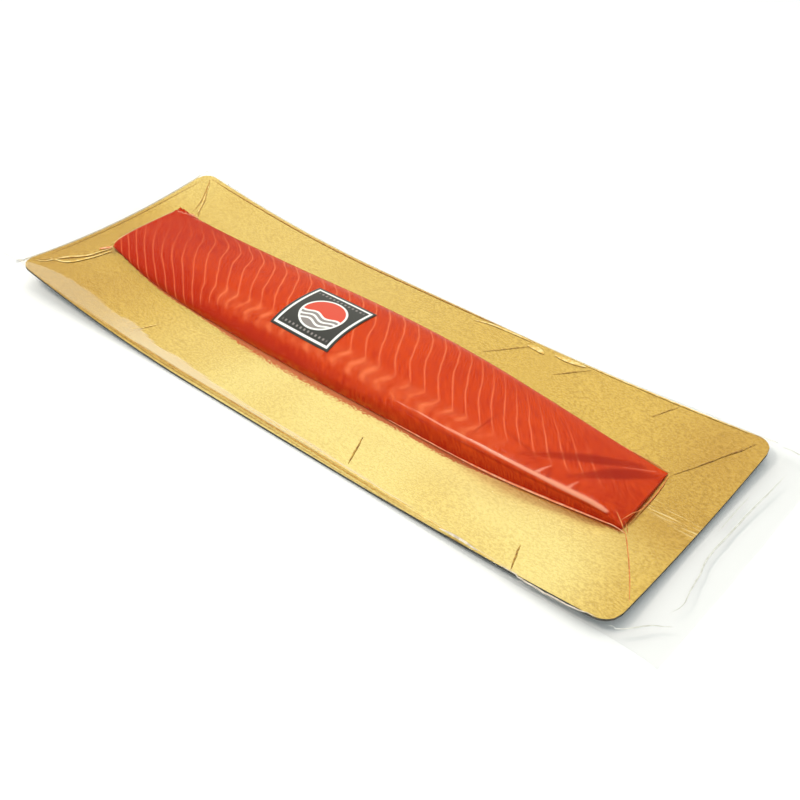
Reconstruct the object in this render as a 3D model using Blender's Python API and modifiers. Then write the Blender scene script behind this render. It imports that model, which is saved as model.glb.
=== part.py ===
# Vacuum-packed smoked salmon fillet: a long strip of fillet, cut straight across at both ends, lies on a
# gold-faced board. The two are sealed between a lower and an upper clear film, and a square sticker is
# stuck on top. Metres, +Z up. X runs along the pack and -Y is the side of the fillet's upright edge. The
# board's ends bow up, so the pack rests on the flat middle of its underside, on z = 0. The origin is the
# middle of the film's outline.

import math

import bpy

GAP = 0.0003                    # between pieces that touch

BOARD_LENGTH = 0.400
BOARD_WIDTH = 0.1435
BOARD_THICKNESS = 0.0012
BOARD_CORNER_RADIUS = 0.009
BOARD_FLAT_HALF = 0.046         # the board is flat this far to each side of its middle
LEFT_RISE = 0.0091              # how far the middle of the left end bows up
LEFT_CORNER_RISE = 0.0051       # how much more its two corners do
RIGHT_RISE = 0.0027
RIGHT_CORNER_RISE = 0.0034

FILM_THICKNESS = 0.0003
FILM_LENGTH = 0.448             # the sealed flanges stand out past the board's ends
FILM_WIDTH = 0.152
FILM_DROOP = 0.0020             # the flanges sag by this much at their tips
FILM_CLEARANCE = 0.0004         # film to fillet
FILM_EDGE_CLEARANCE = 0.0006    # film to the board's rim
FILM_RIM_SLOPE = 0.0016         # width of the step where the upper film drops off the board's rim
FILM_FOOT = 0.0026              # the film bridges the fillet's foot, this wide and this high
FILM_CUT_FOOT = 0.0034          # and the foot of the two cuts, this wide

# Plan of the fillet, as (x, y): its upright near edge and its thin far edge.
NEAR_EDGE = ((-0.1805, -0.0203), (-0.140, -0.0262), (-0.060, -0.0288), (0.050, -0.0284), (0.105, -0.0277),
             (0.173, -0.0203))
FAR_EDGE = ((-0.1788, 0.0322), (-0.150, 0.0332), (-0.090, 0.0355), (0.0, 0.0356), (0.090, 0.0308),
            (0.1705, 0.0240))

# Sections of the fillet at shares of its length, 0 at the left cut: the height at the near edge, the
# height at the far edge, the crown between them, and how square the near and the far shoulder are.
NEAR_HEIGHT = ((0.0, 0.0046), (0.12, 0.0092), (0.3, 0.0124), (0.5, 0.0134), (0.7, 0.0134), (0.8, 0.0138),
               (0.92, 0.0110), (0.965, 0.0092), (1.0, 0.0030))
FAR_HEIGHT = ((0.0, 0.0045), (0.12, 0.0065), (0.25, 0.0090), (0.5, 0.0130), (0.68, 0.0126), (0.8, 0.0086),
              (0.9, 0.0044), (0.97, 0.0016), (1.0, 0.0007))
CROWN = ((0.0, 0.0006), (0.2, 0.0030), (0.4, 0.0044), (0.6, 0.0042), (0.8, 0.0024), (1.0, 0.0004))
NEAR_SQUARENESS = ((0.0, 2.6), (0.3, 2.8), (0.5, 3.0), (0.62, 5.0), (0.75, 8.0), (1.0, 8.0))
FAR_SQUARENESS = ((0.0, 5.0), (0.5, 4.0), (1.0, 5.0))

LABEL_LENGTH = 0.043            # along the fillet
LABEL_WIDTH = 0.0375            # across it, seen from above; the crown makes the sticker nearly square
LABEL_THICKNESS = 0.0002
LABEL_CENTRE = (-0.0248, -0.0010)
LABEL_TURN = math.radians(-1.3)

# Facets: along the fillet, on each side and each half of the top of a section, and under it.
LENGTH_STEPS = 44
SIDE_STEPS = 3
TOP_STEPS = 7
BASE_STEPS = 8
FINE_STEPS = 40                 # a section is drawn this finely before it is divided evenly
MARGIN_STEPS = 4                # across the board, from the rim to the fillet
BOARD_STEPS = 22
BOARD_CORNER_STEPS = 4
LABEL_STEPS = 10

BOARD_BASE = FILM_THICKNESS + GAP
BOARD_TOP = BOARD_BASE + BOARD_THICKNESS
FILLET_BASE = BOARD_TOP + GAP
SEAM_LEVEL = FILM_THICKNESS + GAP


def blend(start, end, share):
    return start + (end - start) * share


def smooth_through(knots):
    # A smooth curve through the knots, level outside them.
    places = [place for place, value in knots]
    values = [value for place, value in knots]
    slopes = [(values[i + 1] - values[i]) / (places[i + 1] - places[i]) for i in range(len(knots) - 1)]
    tangents = [slopes[0]]
    for i in range(1, len(slopes)):
        before = places[i] - places[i - 1]
        after = places[i + 1] - places[i]
        tangents.append((slopes[i - 1] * after + slopes[i] * before) / (before + after))
    tangents.append(slopes[-1])

    def curve(place):
        place = min(max(place, places[0]), places[-1])
        i = 0
        while place > places[i + 1]:
            i += 1
        step = places[i + 1] - places[i]
        t = (place - places[i]) / step
        return (values[i] * (2 * t ** 3 - 3 * t ** 2 + 1) + values[i + 1] * (3 * t ** 2 - 2 * t ** 3)
                + step * (tangents[i] * (t ** 3 - 2 * t ** 2 + t) + tangents[i + 1] * (t ** 3 - t ** 2)))

    return curve


near_edge = smooth_through(NEAR_EDGE)
far_edge = smooth_through(FAR_EDGE)
near_height = smooth_through(NEAR_HEIGHT)
far_height = smooth_through(FAR_HEIGHT)
crown = smooth_through(CROWN)
near_squareness = smooth_through(NEAR_SQUARENESS)
far_squareness = smooth_through(FAR_SQUARENESS)


def bow(x, y):
    # How far the pack's underside stands off the table: the two ends curl up, their corners the most.
    half = BOARD_LENGTH / 2
    span = half - BOARD_FLAT_HALF
    across = (2 * y / BOARD_WIDTH) ** 2
    left = min(max((-x - BOARD_FLAT_HALF) / span, 0), 1)
    right = min(max((x - BOARD_FLAT_HALF) / span, 0), 1)
    flange = max(abs(x) - half, 0) / (FILM_LENGTH / 2 - half)
    return (left ** 2 * (LEFT_RISE + LEFT_CORNER_RISE * across)
            + right ** 2 * (RIGHT_RISE + RIGHT_CORNER_RISE * across) - FILM_DROOP * flange ** 2)


def fillet_plan(share, across):
    # A place in the fillet's plan, from its shares of the length and of the width.
    left_cut = blend(NEAR_EDGE[0][0], FAR_EDGE[0][0], across)
    right_cut = blend(NEAR_EDGE[-1][0], FAR_EDGE[-1][0], across)
    x = blend(left_cut, right_cut, share)
    return x, blend(near_edge(x), far_edge(x), across)


def fillet_shares(x, y):
    # The same the other way round.
    across = (y - near_edge(x)) / (far_edge(x) - near_edge(x))
    left_cut = blend(NEAR_EDGE[0][0], FAR_EDGE[0][0], across)
    right_cut = blend(NEAR_EDGE[-1][0], FAR_EDGE[-1][0], across)
    return (x - left_cut) / (right_cut - left_cut), across


def shoulder(share, across):
    # The arched top before its shoulders are rounded off.
    flat_top = blend(near_height(share), far_height(share), across)
    return flat_top + crown(share) * 4 * across * (1 - across)


def fillet_height(share, across):
    side = 2 * across - 1
    squareness = near_squareness(share) if side < 0 else far_squareness(share)
    return shoulder(share, across) * (1 - abs(side) ** squareness) ** (1 / squareness)


def quarter(share, sign, start, end):
    # Points (across, height) of one quarter of a section, drawn finely from one angle to another:
    # 0 is the foot, 45 degrees the shoulder and 90 degrees the crown.
    power = 2 / (near_squareness(share) if sign < 0 else far_squareness(share))
    points = []
    for i in range(FINE_STEPS + 1):
        angle = math.radians(blend(start, end, i / FINE_STEPS))
        across = (1 + sign * abs(math.cos(angle)) ** power) / 2
        points.append((across, shoulder(share, across) * abs(math.sin(angle)) ** power))
    return points


def divide(points, width, steps):
    # Points at even distances along a line of (across, height) points.
    lengths = [0.0]
    for a, b in zip(points, points[1:]):
        lengths.append(lengths[-1] + math.hypot((b[0] - a[0]) * width, b[1] - a[1]))
    even = []
    i = 0
    for step in range(steps + 1):
        target = lengths[-1] * step / steps
        while i < len(points) - 2 and lengths[i + 1] < target:
            i += 1
        share = (target - lengths[i]) / (lengths[i + 1] - lengths[i])
        even.append((blend(points[i][0], points[i + 1][0], share), blend(points[i][1], points[i + 1][1], share)))
    return even


def raise_foot(points, height):
    # The line of points from the given height upwards; it starts at the foot.
    for i, (a, b) in enumerate(zip(points, points[1:])):
        if b[1] > height:
            share = (height - a[1]) / (b[1] - a[1])
            return [(blend(a[0], b[0], share), height)] + points[i + 1:]
    return points


def section(share, foot=0.0):
    # The top of a section as (across, height) points, near foot to far foot, leaving out what lies
    # under the height foot.
    near_x, near_y = fillet_plan(share, 0)
    far_x, far_y = fillet_plan(share, 1)
    width = math.hypot(far_x - near_x, far_y - near_y)
    near_side = quarter(share, -1, 0, 45)
    far_side = quarter(share, 1, 0, 45)
    if foot:
        near_side = raise_foot(near_side, min(foot, near_side[-1][1] / 2))
        far_side = raise_foot(far_side, min(foot, far_side[-1][1] / 2))
    near_side = divide(near_side, width, SIDE_STEPS)
    near_top = divide(quarter(share, -1, 45, 90), width, TOP_STEPS)
    far_top = divide(quarter(share, 1, 45, 90), width, TOP_STEPS)
    far_side = divide(far_side, width, SIDE_STEPS)
    return near_side + near_top[1:] + far_top[::-1][1:] + far_side[::-1][1:]


def length_shares():
    # Stations along the fillet, closer together towards the steep right end.
    return [math.sin(math.pi / 2 * i / LENGTH_STEPS) ** 1.3 for i in range(LENGTH_STEPS + 1)]


def new_object(name, points, faces, material, collection):
    mesh = bpy.data.meshes.new(name)
    mesh.from_pydata(points, [], faces)
    mesh.materials.append(material)
    mesh.shade_smooth()
    mesh.set_sharp_from_angle(angle=math.radians(35))
    piece = bpy.data.objects.new(name, mesh)
    collection.objects.link(piece)
    return piece


def grid_faces(rows, columns):
    faces = []
    for i in range(rows - 1):
        for j in range(columns - 1):
            corner = i * columns + j
            faces.append((corner, corner + columns, corner + columns + 1, corner + 1))
    return faces


def make_sheet(name, rows, thickness, material, collection):
    # A sheet from rows of points, thickened upwards. Rows follow +X and the points of a row +Y.
    points = [point for row in rows for point in row]
    piece = new_object(name, points, grid_faces(len(rows), len(rows[0])), material, collection)
    solidify = piece.modifiers.new("thickness", "SOLIDIFY")
    solidify.thickness = thickness
    solidify.offset = 1
    return piece


def make_board(material, collection):
    half_length = BOARD_LENGTH / 2
    half_width = BOARD_WIDTH / 2
    radius = BOARD_CORNER_RADIUS
    corner = [half_length - radius * (1 - math.sin(math.radians(90 * i / BOARD_CORNER_STEPS)))
              for i in range(BOARD_CORNER_STEPS, 0, -1)]
    straight = [blend(radius - half_length, half_length - radius, i / BOARD_STEPS) for i in range(BOARD_STEPS + 1)]
    rows = []
    for x in [-x for x in corner] + straight + corner[::-1]:
        into_corner = max(abs(x) - (half_length - radius), 0)
        reach = half_width - radius + math.sqrt(radius ** 2 - min(into_corner, radius) ** 2)
        ys = [blend(-reach, reach, j / BASE_STEPS) for j in range(BASE_STEPS + 1)]
        rows.append([(x, y, bow(x, y) + BOARD_BASE) for y in ys])
    return make_sheet("card", rows, BOARD_THICKNESS, material, collection)


def make_lower_film(material, collection):
    half = FILM_LENGTH / 2
    xs = [blend(-half, half, i / BOARD_STEPS) for i in range(BOARD_STEPS + 1)]
    ys = [blend(-FILM_WIDTH / 2, FILM_WIDTH / 2, j / BASE_STEPS) for j in range(BASE_STEPS + 1)]
    rows = [[(x, y, bow(x, y)) for y in ys] for x in xs]
    return make_sheet("film_bottom", rows, FILM_THICKNESS, material, collection)


def make_fillet(material, collection):
    # A closed loft: each section runs over the top and back along the board.
    points = []
    for share in length_shares():
        loop = section(share)
        loop += [(1 - i / BASE_STEPS, 0.0) for i in range(1, BASE_STEPS)]
        for across, height in loop:
            x, y = fillet_plan(share, across)
            points.append((x, y, bow(x, y) + FILLET_BASE + height))
    count = len(loop)
    faces = []
    for i in range(LENGTH_STEPS):
        for j in range(count):
            a = i * count + j
            b = i * count + (j + 1) % count
            faces.append((a, a + count, b + count, b))
    faces.append(tuple(range(count)))
    faces.append(tuple(range(len(points) - 1, len(points) - 1 - count, -1)))
    return new_object("fillet", points, faces, material, collection)


def film_level(x, y):
    # Where the upper film lies: on the board, or on the lower film outside the board's rim.
    on_board = (abs(x) < BOARD_LENGTH / 2 + 2 * FILM_EDGE_CLEARANCE
                and abs(y) < BOARD_WIDTH / 2 + 2 * FILM_EDGE_CLEARANCE)
    return bow(x, y) + (FILLET_BASE if on_board else SEAM_LEVEL)


def film_margin(foot_y):
    # The upper film's columns from its edge to the fillet's foot, on the side that foot_y is on.
    sign = math.copysign(1, foot_y)
    rim = BOARD_WIDTH / 2 + FILM_EDGE_CLEARANCE
    landing = foot_y + sign * FILM_FOOT
    columns = [sign * FILM_WIDTH / 2, sign * (rim + FILM_RIM_SLOPE)]
    columns += [blend(sign * rim, landing, i / MARGIN_STEPS) for i in range(MARGIN_STEPS + 1)]
    return columns


def film_row(share, shift=0.0, x_flat=None):
    # One row of the upper film, edge to edge. With shift it stands off a cut, and with x_flat it is a
    # straight row at that x, flat on what lies under it.
    outline = section(share, FILM_FOOT)
    width = far_edge(0) - near_edge(0)
    row = []
    near_x, near_y = fillet_plan(share, 0)
    far_x, far_y = fillet_plan(share, 1)
    for y in film_margin(near_y):
        x = near_x + shift if x_flat is None else x_flat
        row.append((x, y, film_level(x, y)))
    for i, (across, height) in enumerate(outline):
        before = outline[max(i - 1, 0)]
        after = outline[min(i + 1, len(outline) - 1)]
        run = (after[0] - before[0]) * width
        rise = after[1] - before[1]
        slant = math.hypot(run, rise)
        x, y = fillet_plan(share, across)
        if x_flat is None:
            y -= FILM_CLEARANCE * rise / slant
            height += FILM_CLEARANCE * run / slant
            x += shift
        else:
            x = x_flat
            height = 0.0
        row.append((x, y, film_level(x, y) + height))
    for y in film_margin(far_y)[::-1]:
        x = far_x + shift if x_flat is None else x_flat
        row.append((x, y, film_level(x, y)))
    return row


def landing_row(share, shift):
    # The row where the film meets the board past a cut.
    return [(x, y, film_level(x, y)) for x, y, z in film_row(share, shift)]


def make_upper_film(material, collection):
    rim = BOARD_LENGTH / 2 + FILM_EDGE_CLEARANCE
    flange = [rim, rim + FILM_RIM_SLOPE, (rim + FILM_LENGTH / 2) / 2, FILM_LENGTH / 2]
    rows = [film_row(0, x_flat=-x) for x in flange[::-1]]
    rows.append(landing_row(0, -FILM_CUT_FOOT))
    rows.append(film_row(0, -FILM_EDGE_CLEARANCE))
    rows += [film_row(share) for share in length_shares()[1:-1]]
    rows.append(film_row(1, FILM_EDGE_CLEARANCE))
    rows.append(landing_row(1, FILM_CUT_FOOT))
    rows += [film_row(1, x_flat=x) for x in flange]
    return make_sheet("film_top", rows, FILM_THICKNESS, material, collection)


def make_label(material, collection):
    base = FILLET_BASE + FILM_CLEARANCE + FILM_THICKNESS + GAP
    rows = []
    for i in range(LABEL_STEPS + 1):
        row = []
        for j in range(LABEL_STEPS + 1):
            u = (i / LABEL_STEPS - 0.5) * LABEL_LENGTH
            v = (j / LABEL_STEPS - 0.5) * LABEL_WIDTH
            x = LABEL_CENTRE[0] + u * math.cos(LABEL_TURN) - v * math.sin(LABEL_TURN)
            y = LABEL_CENTRE[1] + u * math.sin(LABEL_TURN) + v * math.cos(LABEL_TURN)
            row.append((x, y, bow(x, y) + base + fillet_height(*fillet_shares(x, y))))
        rows.append(row)
    return make_sheet("label", rows, LABEL_THICKNESS, material, collection)


def new_material(name, color, roughness, metallic=0.0, transmission=0.0):
    material = bpy.data.materials.new(name)
    material.use_nodes = True
    surface = material.node_tree.nodes["Principled BSDF"]
    surface.inputs["Base Color"].default_value = (*color, 1)
    surface.inputs["Roughness"].default_value = roughness
    surface.inputs["Metallic"].default_value = metallic
    surface.inputs["Transmission Weight"].default_value = transmission
    material.diffuse_color = (*color, 1)
    return material


def main():
    for old in list(bpy.data.objects):
        bpy.data.objects.remove(old)
    collection = bpy.data.collections.new("smoked_salmon_fillet")
    bpy.context.scene.collection.children.link(collection)
    gold = new_material("gold board", (0.78, 0.55, 0.16), 0.35, metallic=1.0)
    salmon = new_material("smoked salmon", (0.75, 0.10, 0.03), 0.35)
    film = new_material("clear film", (0.95, 0.95, 0.95), 0.08, transmission=1.0)
    paper = new_material("sticker", (0.03, 0.03, 0.035), 0.40)
    make_lower_film(film, collection)
    make_board(gold, collection)
    make_fillet(salmon, collection)
    make_upper_film(film, collection)
    make_label(paper, collection)


main()
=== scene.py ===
# Vacuum-packed smoked salmon fillet on a gold board: the finished surfaces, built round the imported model.
# Metres, +Z up. X runs along the pack, -Y is the side of the fillet's upright edge.
import math

import bpy
import numpy as np
from mathutils import Matrix, Vector


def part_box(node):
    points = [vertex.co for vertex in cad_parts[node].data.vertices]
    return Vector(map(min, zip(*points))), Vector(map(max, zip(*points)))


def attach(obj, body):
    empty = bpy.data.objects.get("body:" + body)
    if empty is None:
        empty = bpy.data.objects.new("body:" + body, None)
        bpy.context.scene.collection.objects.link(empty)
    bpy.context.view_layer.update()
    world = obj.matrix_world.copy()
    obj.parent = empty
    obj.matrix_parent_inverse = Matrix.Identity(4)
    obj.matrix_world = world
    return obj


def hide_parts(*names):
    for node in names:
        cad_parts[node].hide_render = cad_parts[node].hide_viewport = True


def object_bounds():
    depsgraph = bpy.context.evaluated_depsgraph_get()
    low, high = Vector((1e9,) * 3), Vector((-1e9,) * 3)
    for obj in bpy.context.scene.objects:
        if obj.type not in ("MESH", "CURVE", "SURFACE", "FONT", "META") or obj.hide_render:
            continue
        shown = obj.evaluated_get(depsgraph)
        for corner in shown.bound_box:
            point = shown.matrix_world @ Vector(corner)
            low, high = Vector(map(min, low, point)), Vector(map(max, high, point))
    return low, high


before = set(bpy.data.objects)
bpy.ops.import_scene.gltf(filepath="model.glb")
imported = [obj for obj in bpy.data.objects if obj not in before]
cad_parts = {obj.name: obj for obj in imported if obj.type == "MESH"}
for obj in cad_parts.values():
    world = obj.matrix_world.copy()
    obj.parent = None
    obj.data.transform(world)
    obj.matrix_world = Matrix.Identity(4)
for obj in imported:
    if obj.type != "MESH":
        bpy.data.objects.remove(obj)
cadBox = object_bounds()
millimetre = 0.001


def hexColor(code):
    # sRGB hex to the linear colour that the shaders use
    channels = [int(code[i:i + 2], 16) / 255 for i in (1, 3, 5)]
    linear = [c / 12.92 if c <= 0.04045 else ((c + 0.055) / 1.055) ** 2.4 for c in channels]
    return (*linear, 1.0)


def blendValues(start, end, share):
    return start + (end - start) * share


def smoothStep(low, high, value):
    t = np.clip((value - low) / (high - low), 0, 1)
    return t * t * (3 - 2 * t)


def smoothThrough(knots):
    # a smooth curve through the knots, level outside them; takes arrays
    places = np.array([k[0] for k in knots], float)
    values = np.array([k[1] for k in knots], float)
    slopes = np.diff(values) / np.diff(places)
    steps = np.diff(places)
    tangents = np.empty(len(knots))
    tangents[0] = slopes[0]
    tangents[-1] = slopes[-1]
    tangents[1:-1] = (slopes[:-1] * steps[1:] + slopes[1:] * steps[:-1]) / (steps[1:] + steps[:-1])

    def curve(place):
        place = np.clip(place, places[0], places[-1])
        i = np.clip(np.searchsorted(places, place) - 1, 0, len(knots) - 2)
        step = steps[i]
        t = (place - places[i]) / step
        return (values[i] * (2 * t ** 3 - 3 * t ** 2 + 1) + values[i + 1] * (3 * t ** 2 - 2 * t ** 3)
                + step * (tangents[i] * (t ** 3 - 2 * t ** 2 + t) + tangents[i + 1] * (t ** 3 - t ** 2)))

    return curve


def softNoise(x, y, size, seed):
    # smooth uneven waves of about the given size, from about -1 to 1
    rng = np.random.default_rng(seed)
    waves = 9
    total = np.zeros(np.broadcast(x, y).shape)
    for _ in range(waves):
        turn = rng.uniform(0, 2 * math.pi)
        wave = 2 * math.pi / (size * rng.uniform(0.7, 1.6))
        total += np.sin(wave * (x * math.cos(turn) + y * math.sin(turn)) + rng.uniform(0, 2 * math.pi))
    return total / (waves / 2)


def addNode(tree, kind, inputs=None, **settings):
    # adds a node; an input is a value, a socket, or a node, which is linked by its first output in use
    node = tree.nodes.new(kind)
    for name, value in settings.items():
        setattr(node, name, value)
    for key, value in (inputs or {}).items():
        if isinstance(value, bpy.types.Node):
            value = next(output for output in value.outputs if output.enabled)
        if isinstance(value, bpy.types.NodeSocket):
            tree.links.new(value, node.inputs[key])
        else:
            node.inputs[key].default_value = value
    return node


def newMaterial(name):
    material = bpy.data.materials.new(name)
    material.use_nodes = True
    material.node_tree.nodes.clear()
    return material, material.node_tree


def setAttributes(mesh, attributes):
    # values at the points, which a material reads by name
    for key, values in attributes.items():
        layer = mesh.attributes.new(key, "FLOAT", "POINT")
        layer.data.foreach_set("value", np.asarray(values, np.float32).ravel())


def newPiece(name, points, faces, materials, attributes=None, smooth=True):
    # a mesh object from an array of points and an array of quads
    mesh = bpy.data.meshes.new(name)
    mesh.from_pydata(points.tolist(), [], faces)
    for material in materials:
        mesh.materials.append(material)
    setAttributes(mesh, attributes or {})
    if smooth:
        mesh.shade_smooth()
    mesh.update()
    piece = bpy.data.objects.new(name, mesh)
    bpy.context.scene.collection.objects.link(piece)
    return piece


def gridFaces(rows, columns):
    # the quads of a grid whose points are stored row by row
    i, j = np.meshgrid(np.arange(rows - 1), np.arange(columns - 1), indexing="ij")
    corner = (i * columns + j).ravel()
    return np.stack([corner, corner + columns, corner + columns + 1, corner + 1], axis=1).tolist()


def keepAs(piece, slot, *nodes):
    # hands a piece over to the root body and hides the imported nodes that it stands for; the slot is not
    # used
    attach(piece, "root")
    if nodes:
        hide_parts(*nodes)


filmLow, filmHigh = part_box("film_bottom")
boardLow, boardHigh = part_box("card")

board = {
    "length": boardHigh.x - boardLow.x,
    "width": boardHigh.y - boardLow.y,
    "thickness": 0.0012,
    "cornerRadius": 0.009,
    "flatHalf": 0.046,              # flat this far to each side of the middle
    "leftRise": 0.0091,
    "leftCornerRise": 0.0051,
    "rightRise": 0.0027,
    "rightCornerRise": 0.0034,
    "base": boardLow.z,             # the height of its underside where it is flat
    "cells": (180, 144),
}
bag = {
    "length": filmHigh.x - filmLow.x,
    "width": filmHigh.y - filmLow.y,
    "droop": 0.0020,                # the flanges sag by this much at their tips
    "thickness": 0.00012,
}
boardTop = board["base"] + board["thickness"]
# a scuffed patch of foil beyond the fish's right end
scuffPatch = {
    "middle": (0.18598, 0.00035),
    "turn": math.radians(9),
    "halfLength": 0.0175,
    "halfWidth": 0.0055,
    "strength": 0.60,
}


def bow(x, y):
    # how far the pack's underside stands off the table
    half = board["length"] / 2
    span = half - board["flatHalf"]
    across = (2 * y / board["width"]) ** 2
    left = np.clip((-x - board["flatHalf"]) / span, 0, 1)
    right = np.clip((x - board["flatHalf"]) / span, 0, 1)
    flange = np.maximum(np.abs(x) - half, 0) / (bag["length"] / 2 - half)
    return (left ** 2 * (board["leftRise"] + board["leftCornerRise"] * across)
            + right ** 2 * (board["rightRise"] + board["rightCornerRise"] * across)
            - bag["droop"] * flange ** 2)


def makeFoil():
    # Gold foil laminated on board and finely embossed: a warm satin mirror, whose small ridges break up what
    # it reflects. Painted into its colour are a highlight, shade at the ends and in the hollows, and the
    # fish's red reflected ragged along its foot.
    look = {
        "gold": "#EAC666",
        "paintedSheen": "#FCE896",         # a painted highlight along the near long side
        "dull": "#D4AC56",          # and painted shade at the raised ends
        "hollowShade": "#8A6020",        # painted shade in the hollows of the embossing
        "hollowShadeShare": 0.43,
        "scuff": "#FBE8B0",         # where the foil is scuffed pale
        "redLight": "#C4441A",      # the fish's red, caught between the foil's ridges along its foot
        "satin": 0.36,              # roughness of the broad sheen
        "mirror": 0.10,             # and of the sharper share that mirrors the fish
        "mirrorShare": 0.45,
        "weave": (1.65, 0.78),      # mm, an embossed thread's length and width: coarser than real, to show
        "scuffs": (28.57, 0.7143),  # mm, length and width of one scuff
        "emboss": 0.00006,          # metres
        "lift": 0.0022,             # metres: the film's pull tilts the foil beside the fish as if this high
    }
    material, tree = newMaterial("embossedGoldFoil")
    place = addNode(tree, "ShaderNodeTexCoord").outputs["Object"]
    given = {name: addNode(tree, "ShaderNodeAttribute", attribute_name=name).outputs["Fac"] for name in (
        "paintedSheen", "dull", "scuff", "mirrored", "lifted")}
    threads = addNode(tree, "ShaderNodeMapping", {
        "Vector": place, "Scale": (1000 / look["weave"][0], 1000 / look["weave"][1], 1000)})
    grain = addNode(tree, "ShaderNodeTexNoise", {
        "Vector": threads, "Scale": 1.0, "Detail": 2.5, "Roughness": 0.6})
    hollow = addNode(tree, "ShaderNodeMapRange", {
        "Value": grain, "From Min": 0.58, "From Max": 0.40, "To Max": look["hollowShadeShare"]})
    scuffed = addNode(tree, "ShaderNodeMapping", {
        "Vector": place, "Rotation": (0, 0, scuffPatch["turn"]),
        "Scale": (1000 / look["scuffs"][0], 1000 / look["scuffs"][1], 1000)})
    streaks = addNode(tree, "ShaderNodeTexNoise", {"Vector": scuffed, "Scale": 1.0, "Detail": 1.0})
    worn = addNode(tree, "ShaderNodeMapRange", {"Value": streaks, "From Min": 0.53, "From Max": 0.62})
    scuff = addNode(tree, "ShaderNodeMath", {0: given["scuff"], 1: worn}, operation="MULTIPLY")
    # the fish's red, a painted reflection, shows where the grain lets it, out to about one width of the red
    # zone
    ragged = addNode(tree, "ShaderNodeMath", {
        0: grain, 1: 2.2, 2: given["mirrored"]}, operation="MULTIPLY_ADD")
    red = addNode(tree, "ShaderNodeMapRange", {
        "Value": ragged, "From Min": 2.25, "From Max": 1.85, "To Max": 0.85})
    # the painted shade in the hollows shows half as much under the painted highlight
    seen = addNode(tree, "ShaderNodeMath", {0: given["paintedSheen"], 1: -0.50, 2: 1.0}, operation="MULTIPLY_ADD")
    shadedHollows = addNode(tree, "ShaderNodeMath", {0: hollow, 1: seen}, operation="MULTIPLY")
    color = hexColor(look["gold"])
    for share, shade in ((given["paintedSheen"], "paintedSheen"), (given["dull"], "dull"), (shadedHollows, "hollowShade"),
                         (scuff, "scuff"), (red, "redLight")):
        color = addNode(tree, "ShaderNodeMix", {
            "Factor": share, "A": color, "B": hexColor(look[shade])}, data_type="RGBA")
    metal = addNode(tree, "ShaderNodeMath", {0: red, 1: -0.6, 2: 1.0}, operation="MULTIPLY_ADD")
    relief = None
    for height, strength, distance in ((given["lifted"], 1.0, look["lift"]), (grain, 1.0, look["emboss"]),
                                       (scuff, 0.6, 0.0002)):
        below = {"Normal": relief} if relief else {}
        relief = addNode(tree, "ShaderNodeBump", {
            "Height": height, "Strength": strength, "Distance": distance, **below})
    satin, mirror = (addNode(tree, "ShaderNodeBsdfPrincipled", {
        "Base Color": color, "Metallic": metal, "Roughness": look[key], "Normal": relief})
        for key in ("satin", "mirror"))
    surface = addNode(tree, "ShaderNodeMixShader", {0: look["mirrorShare"], 1: satin, 2: mirror})
    addNode(tree, "ShaderNodeOutputMaterial", {"Surface": surface})
    return material


# how wide the painted red reflection along the foot of the fish is
redWidth = smoothThrough((
    (-0.160, 0.0004), (-0.150, 0.0007), (-0.122, 0.0013), (-0.097, 0.0013), (-0.072, 0.0026),
    (-0.055, 0.0037), (0.032, 0.0037), (0.048, 0.0030), (0.090, 0.0030), (0.108, 0.0015),
    (0.120, 0.0005), (0.140, 0.0001)))


def foilZones(x, y):
    # where highlight and shade are painted, where the foil is scuffed, and where the fish's reflection is
    # painted
    patches = 1 + 0.25 * softNoise(x, y, 0.06, 21)
    # a painted highlight along the near long side, fainter along the far side
    nearSide = smoothStep(-0.150, 0.020, x) * smoothStep(0.212, 0.150, x) * smoothStep(0.004, -0.032, y)
    farSide = 0.40 * smoothStep(0.080, -0.120, x) * smoothStep(0.015, 0.050, y)
    # painted shade at the two raised ends
    leftEnd = smoothStep(-0.100, -0.170, x) * smoothStep(0.045, -0.020, y)
    rightEnd = smoothStep(0.130, 0.185, x) * smoothStep(-0.050, 0.000, y)
    turn = scuffPatch["turn"]
    offX = x - scuffPatch["middle"][0]
    offY = y - scuffPatch["middle"][1]
    along = np.abs(offX * math.cos(turn) - offY * math.sin(turn))
    across = np.abs(offX * math.sin(turn) + offY * math.cos(turn))
    length, width = scuffPatch["halfLength"], scuffPatch["halfWidth"]
    scuff = (scuffPatch["strength"] * smoothStep(length, length - 0.0040, along)
             * smoothStep(width, width - 0.0030, across))
    # how far off the foot of the fish a place is, in widths of the painted red reflection there
    offFoot = shape["nearEdge"](x) - y
    beside = (x > -0.165) & (x < 0.140) & (y < 0)
    mirrored = np.where(beside, offFoot / redWidth(x), 9)
    # the film's pull on the foil, weaker towards the right
    lifted = ((1 - np.clip(np.abs(offFoot) / 0.014, 0, 1)) ** 2 * smoothStep(-0.182, -0.172, x)
              * smoothStep(0.176, 0.166, x) * blendValues(1.0, 0.55, smoothStep(0.060, 0.130, x)))
    return {"paintedSheen": np.clip(np.maximum(nearSide, farSide) * patches, 0, 1),
            "dull": np.clip(np.maximum(leftEnd, rightEnd) * patches * 0.8, 0, 1),
            "scuff": scuff, "mirrored": mirrored, "lifted": lifted}


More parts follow.
